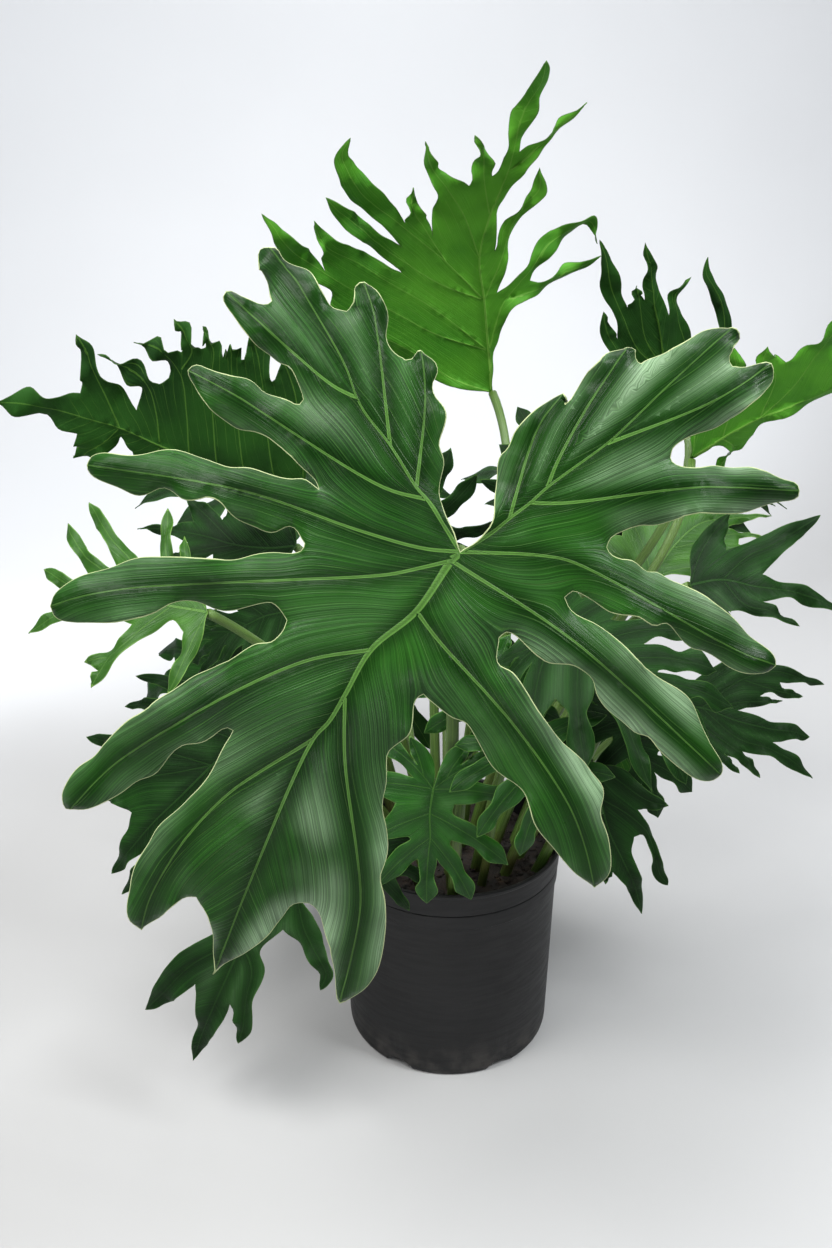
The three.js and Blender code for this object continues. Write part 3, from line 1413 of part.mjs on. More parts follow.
// The other leaves. Aim is the azimuth and elevation of the end lobe, face that of the upper face;
// azimuth 0 is +X and -90 the viewer. Foot is the ring and the place on it where the stem stands.
const LEAVES = [
  {
    name: "tall_back", length: 276, foot: [0, 1],
    joint: [36, 90, 616], aim: [-48, 79], face: [110, 10], fold: 0.3, tone: "bright", arch: 30,
    droop: 25,
  },
  {
    name: "upper_left", length: 254, foot: [1, 7],
    joint: [-123, -50, 571], aim: [178, 14], face: [78, 34], fold: 0.5, arch: 15, droop: 15,
    tipDrop: 0.03,
  },
  {
    name: "left_dark", length: 151, foot: [2, 11],
    joint: [-140, 28, 490], aim: [169, 3], face: [-98, 45], arch: 12, droop: 12, fold: 0.15,
    tipDrop: 0.02,
  },
  {
    name: "young_left", length: 140, foot: [1, 9],
    joint: [-193, -138, 492], aim: [-179, -7], face: [-95, 42], tone: "young", arch: 20, droop: 15,
    fold: 0.1,
  },
  {
    name: "left_mid", shape: "upright", seed: 9, length: 180, foot: [2, 10],
    joint: [-165, 45, 388], aim: [180, -18], face: [-100, 65],
  },
  {
    name: "left_low", length: 158, foot: [1, 8],
    joint: [-181, -95, 357], aim: [-162, -43], face: [-112, 35], arch: 20, droop: 15, fold: 0.1,
    tipDrop: 0.02,
  },
  {
    name: "hanging_left", length: 175, foot: [2, 12],
    joint: [-132, -150, 243], aim: [-158, -56], face: [-105, 22], carry: 1.0, swoop: 0.5, arch: 20,
    droop: 15, fold: 0.1, tipDrop: 0.02,
  },
  {
    name: "rim_left", shape: "small", seed: 27, length: 70, foot: [2, 13],
    joint: [-66, -114, 270], aim: [-95, -62], face: [-90, 40], stem: 0.7,
  },
  {
    name: "centre_low", shape: "small", seed: 19, length: 105, foot: [2, 0],
    joint: [-18, -124, 328], aim: [-105, -72], face: [-90, 15], stem: 0.75, tone: "bright",
    arch: 15,
  },
  {
    name: "centre_high", shape: "small", seed: 21, length: 95, foot: [2, 1],
    joint: [54, -136, 372], aim: [-45, -50], face: [-90, 40], stem: 0.8, tone: "bright",
  },
  {
    name: "right_fill", shape: "upright", seed: 23, length: 150, foot: [1, 1],
    joint: [80, -95, 455], aim: [-35, -8], face: [-90, 60],
  },
  {
    name: "right_upper", length: 152, foot: [1, 4],
    joint: [197, 90, 607], aim: [-134, 69], face: [115, 8], fold: 0.3, arch: 15, droop: 15,
    tipDrop: 0.0,
  },
  {
    name: "far_right", length: 166, foot: [1, 3],
    joint: [211, 45, 566], aim: [-3, 28], face: [105, 30], fold: 0.3, tone: "bright", arch: 10,
    droop: 10, tipDrop: 0.02,
  },
  {
    name: "right_bright", length: 140, foot: [2, 4],
    joint: [184, 38, 456], aim: [25, 17], face: [-80, 40], tone: "young", arch: 15, droop: 15,
    fold: 0.1, tipDrop: 0.02,
  },
  {
    name: "right_mid", length: 135, foot: [1, 2],
    joint: [192, -75, 491], aim: [2, -11], face: [-78, 42], arch: 12, droop: 12, fold: 0.1,
    tipDrop: 0.02,
  },
  {
    name: "right_low", length: 131, foot: [2, 3],
    joint: [198, -25, 356], aim: [0, -14], face: [-78, 40], arch: 20, droop: 15, fold: 0.1,
    tipDrop: 0.02,
  },
  {
    name: "hanging_right", length: 142, foot: [2, 2],
    joint: [112, -118, 350], aim: [-31, -67], face: [-82, 15], arch: 15, droop: 15, fold: 0.1,
    tipDrop: 0.02,
  },
  {
    name: "dark_upright", shape: "small", seed: 37, length: 78, foot: [0, 0],
    joint: [80, -34, 556], aim: [10, 86], face: [-90, 0], carry: 1.6,
  },
  {
    name: "mid_dark", shape: "small", seed: 39, length: 90, foot: [0, 2],
    joint: [-24, -4, 508], aim: [-110, 62], face: [-90, 0], carry: 1.4,
  },
  {
    name: "back_left", shape: "broad", seed: 41, length: 205, foot: [2, 9],
    joint: [-150, 240, 505], aim: [135, 8], face: [140, 78],
  },
  {
    name: "back_mid", shape: "upright", seed: 43, length: 200, foot: [2, 7],
    joint: [-2, 222, 390], aim: [92, -12], face: [90, 68],
  },
  {
    name: "back_right", shape: "broad", seed: 45, length: 200, foot: [2, 5],
    joint: [178, 222, 500], aim: [50, 4], face: [45, 78],
  },
  {
    name: "back_low", shape: "upright", seed: 47, length: 195, foot: [2, 8],
    joint: [-58, 225, 285], aim: [112, -45], face: [110, 35],
  },
  {
    name: "back_low_right", shape: "upright", seed: 49, length: 190, foot: [2, 6],
    joint: [126, 180, 305], aim: [52, -45], face: [55, 35],
  },
  {
    name: "fill_left", shape: "upright", seed: 83, length: 100, foot: [1, 6],
    joint: [-152, 10, 433], aim: [190, -10], face: [-110, 60], carry: 1.5,
  },
  {
    name: "fill_right", shape: "small", seed: 91, length: 92, foot: [3, 3],
    joint: [144, -83, 373], aim: [-57, -44], face: [-79, 41],
  },
  {
    name: "centre_back", shape: "small", seed: 90, length: 88, foot: [3, 0],
    joint: [31, -91, 417], aim: [-73, -69], face: [-87, 28], carry: 1.5, tone: "bright",
  },
  {
    name: "right_back", shape: "upright", seed: 95, length: 121, foot: [3, 5],
    joint: [149, 130, 468], aim: [25, -17], face: [-71, 60],
  },
];

function addLeaf(group, holes, leaf, plan, detail, bend) {
  const turn = bladeTurn(leaf);
  const sheet = new BladeSheet(plan, detail, ribShareOf(leaf));
  const material = plainMaterial(BLADE_COLOURS[leaf.tone], 0.45);
  const blade = namedMesh(`${leaf.name}_blade`, thickened(sheet, bend), material);
  blade.quaternion.setFromRotationMatrix(turn);
  blade.position.set(...leaf.joint);
  const stem = namedMesh(
    `${leaf.name}_stem`,
    tubeGeometry(stemRings(leaf, turn, 0)),
    plainMaterial(STEM_COLOUR, 0.5),
  );
  group.add(blade, stem);
  holes.push(stemHole(leaf, turn));
}

const plant = new THREE.Group();
const holes = [];
addLeaf(plant, holes, FRONT_LEAF, planOf(FRONT_LOBES), FRONT_DETAIL, bendFront);
for (const entry of LEAVES) {
  const leaf = { ...CALM, ...entry };
  const drawn = DRAWN_LOBES[leaf.name];
  const lobes = drawn ?? cutLobes(SHAPES[leaf.shape], leaf.length, seededDraw(leaf.seed));
  const detail = drawn ? DRAWN_DETAIL : GROWN_DETAIL * leaf.length;
  addLeaf(plant, holes, leaf, planOf(lobes), detail, bendBy(leaf));
}
plant.add(namedMesh("pot", geometryOf(buildPot()), plainMaterial(POT_COLOUR, 0.55)));
plant.add(namedMesh("soil", geometryOf(buildSoil(holes)), plainMaterial(SOIL_COLOUR, 0.95)));

export default plant;
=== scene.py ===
"""Potted lickety split philodendron: cut leaves on long stems, standing in a black nursery pot."""

import json
import logging
import math
from dataclasses import dataclass, field
from enum import Enum
from typing import Callable, ClassVar, Iterable, NamedTuple, Optional, Sequence

import bpy
import numpy as np
from mathutils import Matrix, Vector
from mathutils.geometry import delaunay_2d_cdt

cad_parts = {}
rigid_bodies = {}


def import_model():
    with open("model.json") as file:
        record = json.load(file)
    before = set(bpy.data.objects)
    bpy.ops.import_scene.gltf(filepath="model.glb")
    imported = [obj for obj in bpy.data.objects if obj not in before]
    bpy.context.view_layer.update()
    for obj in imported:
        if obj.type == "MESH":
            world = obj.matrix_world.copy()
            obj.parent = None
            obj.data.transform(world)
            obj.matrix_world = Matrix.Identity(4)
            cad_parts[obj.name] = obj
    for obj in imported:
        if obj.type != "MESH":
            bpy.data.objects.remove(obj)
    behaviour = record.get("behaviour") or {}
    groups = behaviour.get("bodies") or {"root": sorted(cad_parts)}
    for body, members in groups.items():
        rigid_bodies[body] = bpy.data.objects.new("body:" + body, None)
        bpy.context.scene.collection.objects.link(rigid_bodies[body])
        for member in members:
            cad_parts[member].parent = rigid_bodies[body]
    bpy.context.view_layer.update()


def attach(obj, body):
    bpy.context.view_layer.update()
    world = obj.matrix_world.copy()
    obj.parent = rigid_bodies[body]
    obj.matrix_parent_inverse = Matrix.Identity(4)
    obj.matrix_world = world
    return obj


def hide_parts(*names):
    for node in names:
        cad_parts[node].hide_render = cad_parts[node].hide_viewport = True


log = logging.getLogger("philodendron")

# Millimetres in metres, the least length to divide by, how near counts as on a line, and points a batch
MM = 0.001
TINY = 1e-12
ON_LINE = 1e-4
CHUNK = 2000

Pair = tuple[float, float]
Triple = tuple[float, float, float]
Point = tuple[float, ...]
Shade = tuple[float, float, float, float]
Socket = bpy.types.NodeSocket

# The pot and soil, in millimetres
POT_HEIGHT = 210.0
POT_RIM_RADIUS = 108.0
POT_BASE_RADIUS = 99.0
POT_WALL = 1.8
POT_FLOOR = 2.4
RIM_BAND_HEIGHT = 24.0
RIM_BAND_REACH = 1.5
FOLD_BAND_HEIGHT = 16.0
FOLD_BAND_REACH = 1.4
LIP_REACH = 2.2
LIP_HEIGHT = 6.0
SOIL_LEVEL = 192.0
SOIL_CROWN = 5.0
STEM_SINK = 26.0

# Blades and stems, in millimetres
HALF_THICKNESS = 0.35
MIDRIB_DEPTH = 3.0
SIDE_RIB_DEPTH = 1.1
FULL_RIBS_LENGTH = 170.0
STEM_LEAN = 0.006
STEM_BASE_RADIUS = 5.6
STEM_TIP_RADIUS = 3.6
STEM_RISE = 0.42
STEM_ARRIVAL = 0.75
STEM_IN_RIB = 0.8
FOOT_RINGS = ((11.0, 3), (36.0, 10), (58.0, 14), (79.0, 16))

# How the front leaf bends away from a point in front of it
FRONT_FOCUS = np.array([-25.0, -41.0, 695.0])
FRONT_DROOP = 0.00042
FRONT_FALL_START = -60.0
FRONT_FALL = 0.0016
FRONT_WAVE = 6.0
FRONT_CURL = 4.0
FRONT_CURL_START = 120.0
FOLD_SOFTNESS = 12.0
WAVES_PER_MARGIN = 1.6
WAVE_SHIFT_PER_LOBE = 1.7
WAVE_SHIFT_FALLING = 2.1

# How the lobes of a grown leaf vary
NOTCH_CLEAR = 1.1
MARGIN_ROOM = 0.42
MIDRIB_SWAY = 0.012
SWAY_STEP = 2.1
SIDE_BEND = 0.35
BACK_BEND = 0.5
FORK_BEND = 0.3
FORK_REACH = 0.56
NOTCH_SCATTER = 0.25
LOBE_WIDTHS = (0.85, 1.0, 0.68, 0.8)
FORK_WIDTHS = (0.9, 0.8)
JOINT: Pair = (0.0, 0.0)


class Tone(Enum):
    """The colour of a blade, by its age and the side that it shows; one tone is the leaves' green painted darker as
    shade, one painted brighter as light from behind.
    """

    FRONT = "front"
    # The other leaves: their own green painted darker as shade
    DEEP_PAINTED_SHADE = "deep"
    # Leaves against the light: their own green painted brighter as light shining through from behind
    BRIGHT_PAINTED_BACKLIGHT = "bright"
    YOUNG = "young"


@dataclass(frozen=True)
class Cut:
    """Kind of cut leaf: angles from the end lobe, reaches and widths as shares of the blade's length."""

    side_lobes: int
    root_span: float
    first_angle: float
    last_angle: float
    first_reach: float
    last_reach: float
    back_angle: float
    back_reach: float
    fork_angle: float
    half_width: float
    notch: float
    ragged: float


BROAD = Cut(4, 0.5, 98, 40, 0.9, 0.64, 132, 0.78, 26, 0.1, 0.4, 0.2)
UPRIGHT = Cut(4, 0.52, 66, 28, 0.86, 0.58, 98, 0.64, 26, 0.085, 0.44, 0.3)
SMALL = Cut(3, 0.4, 86, 40, 0.8, 0.66, 124, 0.62, 28, 0.1, 0.4, 0.2)


@dataclass
class Lobe:
    """One lobe of a leaf plan: its rib, where the rib forks off, and the notch after it.

    A rib's points are x, y and the lobe's half-width there, which the tip and the midrib's foot lack.
    The drawn front leaf has its margins too: rise from the notch before the lobe, fall to the next.
    """

    name: str
    parent: Optional[str]
    fork: int
    rib: list[Point]
    notch: Optional[Pair] = None
    rise: list[Pair] = field(default_factory=list)
    fall: list[Pair] = field(default_factory=list)
    points: list[Point] = field(default_factory=list)


class Bend(NamedTuple):
    """How a leaf bends: its arch along and its droop across in degrees, its fold, and its tips' fall."""

    arch: float = 40.0
    droop: float = 30.0
    fold: float = 0.15
    tip_drop: float = 0.05


@dataclass(frozen=True)
class Leaf:
    """A leaf: its length from joint to end tip, where its joint is, and how it lies and bends.

    Aim and face are the azimuth and elevation in degrees of its axis and of its upper side. Foot is the
    ring in the soil that its stem stands in, and the place in that ring. A drawn leaf has no shape.
    """

    name: str
    length: float
    joint: Triple
    aim: Pair
    face: Pair
    foot: tuple[int, int]
    shape: Optional[Cut] = None
    seed: int = 0
    bend: Bend = Bend()
    wave: float = 0.03
    carry: float = 0.3
    swoop: float = 0.3
    stem: float = 1.0
    tone: Tone = Tone.DEEP_PAINTED_SHADE

    @property
    def rib_share(self) -> float:
        """Small blades have thinner ribs."""
        return min(1.0, self.length / FULL_RIBS_LENGTH)


FRONT_LEAF = Leaf(
    "front", 430, (-7, -348, 613), (90, 67.7), (-90, 22.3), (1, 0), carry=0.0, stem=1.15, tone=Tone.FRONT
)

LEAVES = [
    Leaf("tall_back", 276, (36, 90, 616), (-48, 79), (110, 10), (0, 1), bend=Bend(30, 25, 0.3, 0.05),
         tone=Tone.BRIGHT_PAINTED_BACKLIGHT),
    Leaf("upper_left", 254, (-123, -50, 571), (178, 14), (78, 34), (1, 7), bend=Bend(15, 15, 0.5, 0.03)),
    Leaf("left_dark", 151, (-140, 28, 490), (169, 3), (-98, 45), (2, 11), bend=Bend(12, 12, 0.15, 0.02)),
    Leaf("young_left", 140, (-193, -138, 492), (-179, -7), (-95, 42), (1, 9), bend=Bend(20, 15, 0.1, 0.05),
         tone=Tone.YOUNG),
    Leaf("left_mid", 180, (-165, 45, 388), (180, -18), (-100, 65), (2, 10), UPRIGHT, 9),
    Leaf("left_low", 158, (-181, -95, 357), (-162, -43), (-112, 35), (1, 8), bend=Bend(20, 15, 0.1, 0.02)),
    Leaf("hanging_left", 175, (-132, -150, 243), (-158, -56), (-105, 22), (2, 12), bend=Bend(20, 15, 0.1, 0.02),
         carry=1, swoop=0.5),
    Leaf("rim_left", 70, (-66, -114, 270), (-95, -62), (-90, 40), (2, 13), SMALL, 27, stem=0.7),
    Leaf("centre_low", 105, (-18, -124, 328), (-105, -72), (-90, 15), (2, 0), SMALL, 19,
         bend=Bend(15, 30, 0.15, 0.05), stem=0.75, tone=Tone.BRIGHT_PAINTED_BACKLIGHT),
    Leaf("centre_high", 95, (54, -136, 372), (-45, -50), (-90, 40), (2, 1), SMALL, 21, stem=0.8, tone=Tone.BRIGHT_PAINTED_BACKLIGHT),
    Leaf("right_fill", 150, (80, -95, 455), (-35, -8), (-90, 60), (1, 1), UPRIGHT, 23),
    Leaf("right_upper", 152, (197, 90, 607), (-134, 69), (115, 8), (1, 4), bend=Bend(15, 15, 0.3, 0)),
    Leaf("far_right", 166, (211, 45, 566), (-3, 28), (105, 30), (1, 3), bend=Bend(10, 10, 0.3, 0.02),
         tone=Tone.BRIGHT_PAINTED_BACKLIGHT),
    Leaf("right_bright", 140, (184, 38, 456), (25, 17), (-80, 40), (2, 4), bend=Bend(15, 15, 0.1, 0.02),
         tone=Tone.YOUNG),
    Leaf("right_mid", 135, (192, -75, 491), (2, -11), (-78, 42), (1, 2), bend=Bend(12, 12, 0.1, 0.02)),
    Leaf("right_low", 131, (198, -25, 356), (0, -14), (-78, 40), (2, 3), bend=Bend(20, 15, 0.1, 0.02)),
    Leaf("hanging_right", 142, (112, -118, 350), (-31, -67), (-82, 15), (2, 2), bend=Bend(15, 15, 0.1, 0.02)),
    Leaf("dark_upright", 78, (80, -34, 556), (10, 86), (-90, 0), (0, 0), SMALL, 37, carry=1.6),
    Leaf("mid_dark", 90, (-24, -4, 508), (-110, 62), (-90, 0), (0, 2), SMALL, 39, carry=1.4),
    Leaf("back_left", 205, (-150, 240, 505), (135, 8), (140, 78), (2, 9), BROAD, 41),
    Leaf("back_mid", 200, (-2, 222, 390), (92, -12), (90, 68), (2, 7), UPRIGHT, 43),
    Leaf("back_right", 200, (178, 222, 500), (50, 4), (45, 78), (2, 5), BROAD, 45),
    Leaf("back_low", 195, (-58, 225, 285), (112, -45), (110, 35), (2, 8), UPRIGHT, 47),
    Leaf("back_low_right", 190, (126, 180, 305), (52, -45), (55, 35), (2, 6), UPRIGHT, 49),
    Leaf("fill_left", 100, (-152, 10, 433), (190, -10), (-110, 60), (1, 6), UPRIGHT, 83, carry=1.5),
    Leaf("fill_right", 92, (144, -83, 373), (-57, -44), (-79, 41), (3, 3), SMALL, 91),
    Leaf("centre_back", 88, (31, -91, 417), (-73, -69), (-87, 28), (3, 0), SMALL, 90, carry=1.5, tone=Tone.BRIGHT_PAINTED_BACKLIGHT),
    Leaf("right_back", 121, (149, 130, 468), (25, -17), (-71, 60), (3, 5), UPRIGHT, 95),
]

FRONT_LOBES = [
    Lobe("right_a", "right_c", 2, [(45, 72), (59, 91)], rise=[(14, 10), (18, 16), (23, 54), (27, 59), (32, 70),
         (52, 88)], fall=[(61, 88), (59, 84)]),
    Lobe("right_b", "right_c", 4, [(55, 50), (71, 80), (96, 118)], rise=[(62, 85), (71, 100), (82, 112)],
         fall=[(100, 117), (100, 111)]),
    Lobe("right_c", "apex", 0, [(17, 10), (28, 19), (40, 28), (50, 37), (84, 62), (93, 70), (122, 98), (156, 129)],
         rise=[(102, 107), (105, 108), (146, 128)], fall=[(160, 126), (154, 112)]),
    Lobe("right_d", "right_c", 5, [(138, 83), (160, 95), (178, 108)], rise=[(156, 107)], fall=[(179, 104), (179, 98),
         (174, 92), (156, 77), (122, 60), (120, 54)]),
    Lobe("right_2", "right_c", 3, [(60, 28), (138, 37), (194, 35)], rise=[(122, 51), (137, 48), (146, 49), (168, 48),
         (186, 42), (192, 39)], fall=[(192, 31), (171, 25), (160, 22), (133, 22), (112, 16), (103, 16), (95, 13),
         (87, 8), (85, 3)]),
    Lobe("right_3", "apex", 0, [(46, -2), (65, -6), (160, -57), (181, -65)], rise=[(87, -1), (92, -4), (98, -5),
         (107, -11), (113, -11), (122, -17), (142, -26), (179, -60)], fall=[(177, -69), (171, -70), (153, -66),
         (139, -56), (133, -55), (127, -51), (120, -41), (116, -40), (111, -42), (102, -37), (86, -34), (65, -22),
         (60, -26)]),
    Lobe("right_4", "apex", 1, [(65, -51), (150, -128)], rise=[(65, -34), (87, -48), (108, -68), (125, -79),
         (131, -85), (135, -92), (143, -111), (150, -121), (151, -125)], fall=[(146, -131), (140, -131), (127, -124),
         (115, -114), (108, -105), (99, -103), (79, -83), (75, -72), (66, -65), (52, -64), (45, -60), (30, -47),
         (26, -46), (22, -49)]),
    Lobe("right_5", "apex", 2, [(-13, -50), (30, -98), (57, -136), (66, -153), (73, -174), (77, -193)],
         rise=[(21, -61), (23, -65), (30, -69), (51, -100), (73, -122), (82, -135), (80, -149), (85, -164),
         (85, -182), (82, -188)], fall=[(48, -163), (42, -154), (37, -139), (17, -119), (7, -101), (3, -97),
         (-5, -95), (-21, -81)]),
    Lobe("low_7", "apex", 4, [(-66, -119), (-57, -199), (-62, -231), (-69, -258)], rise=[(-24, -83), (-26, -86),
         (-29, -104), (-41, -116), (-42, -121), (-42, -135), (-45, -148), (-42, -162), (-42, -170), (-46, -185),
         (-43, -201), (-44, -226), (-50, -242), (-56, -251)], fall=[(-77, -217), (-83, -205), (-87, -202)]),
    Lobe("apex", None, 0, [(-5, -5), (-25, -34), (-51, -56), (-66, -82), (-75, -97), (-84, -107), (-120, -188),
         (-141, -242)], rise=[(-92, -201), (-97, -202), (-111, -221), (-134, -236)], fall=[(-140, -236), (-146, -204),
         (-151, -197)]),
    Lobe("left_6", "apex", 6, [(-131, -137), (-153, -159), (-166, -177), (-178, -199), (-183, -217)],
         rise=[(-156, -198), (-162, -201)], fall=[(-189, -210), (-191, -202), (-188, -185), (-185, -177),
         (-169, -154), (-154, -140), (-147, -132), (-131, -103)]),
    Lobe("left_5", "apex", 3, [(-87, -62), (-131, -81), (-186, -113), (-202, -125), (-224, -148)], rise=[(-134, -102),
         (-147, -109), (-159, -111), (-164, -115), (-174, -126), (-184, -130), (-194, -138), (-215, -147)],
         fall=[(-227, -147), (-228, -140), (-224, -132), (-218, -123), (-208, -116), (-191, -97), (-181, -91),
         (-171, -83), (-140, -65), (-130, -62), (-117, -53), (-107, -52), (-101, -46), (-99, -39)]),
    Lobe("left_4", "apex", 1, [(-22, -9), (-42, -13), (-98, -16), (-144, -18), (-191, -21), (-219, -26), (-235, -31)],
         rise=[(-105, -30), (-109, -28), (-131, -33), (-159, -28), (-165, -29), (-176, -35), (-199, -40),
         (-230, -37)], fall=[(-232, -23), (-202, -9), (-173, -3), (-132, -4), (-106, 0), (-94, -1), (-89, 1),
         (-88, 5)]),
    Lobe("left_3", "apex", 0, [(-21, 2), (-57, 12), (-124, 35), (-214, 50)], rise=[(-95, 14), (-99, 15), (-107, 12),
         (-117, 14), (-127, 18), (-139, 30), (-144, 32), (-151, 30), (-158, 30), (-170, 36), (-183, 33), (-194, 36),
         (-212, 46)], fall=[(-212, 55), (-207, 57), (-191, 55), (-171, 58), (-147, 54), (-132, 48), (-120, 48),
         (-98, 41), (-89, 41), (-81, 36)]),
    Lobe("left_2", "left_a", 1, [(-44, 37), (-131, 91), (-156, 104)], rise=[(-83, 41), (-108, 64), (-117, 69),
         (-130, 72), (-155, 99)], fall=[(-152, 106), (-146, 105), (-118, 96), (-112, 92), (-99, 87), (-93, 85),
         (-91, 88)]),
    Lobe("left_b", "left_a", 5, [(-74, 96), (-134, 149)], rise=[(-97, 106), (-105, 109), (-128, 132), (-135, 145)],
         fall=[(-130, 149), (-111, 142), (-108, 144)]),
    Lobe("left_a", "apex", 0, [(-19, 30), (-25, 37), (-40, 61), (-54, 79), (-59, 88), (-66, 107), (-87, 144),
         (-95, 157), (-109, 174)], rise=[(-116, 169), (-114, 173)], fall=[(-105, 173), (-101, 168), (-88, 162),
         (-83, 156), (-74, 141), (-65, 137)]),
    Lobe("left_c", "left_a", 3, [(-49, 134), (-55, 155)], rise=[(-62, 139), (-58, 154)], fall=[(-50, 152), (-46, 147),
         (-42, 132), (-42, 123), (-40, 117), (-36, 112), (-31, 109)]),
    Lobe("left_d", "left_a", 2, [(-20, 87), (-22, 116)], rise=[(-27, 111), (-25, 115)], fall=[(-15, 108), (-14, 103),
         (-16, 97), (-15, 91), (-8, 79), (-12, 62), (-10, 53), (-12, 32), (-10, 24), (-5, 14), (0, 0)]),
]

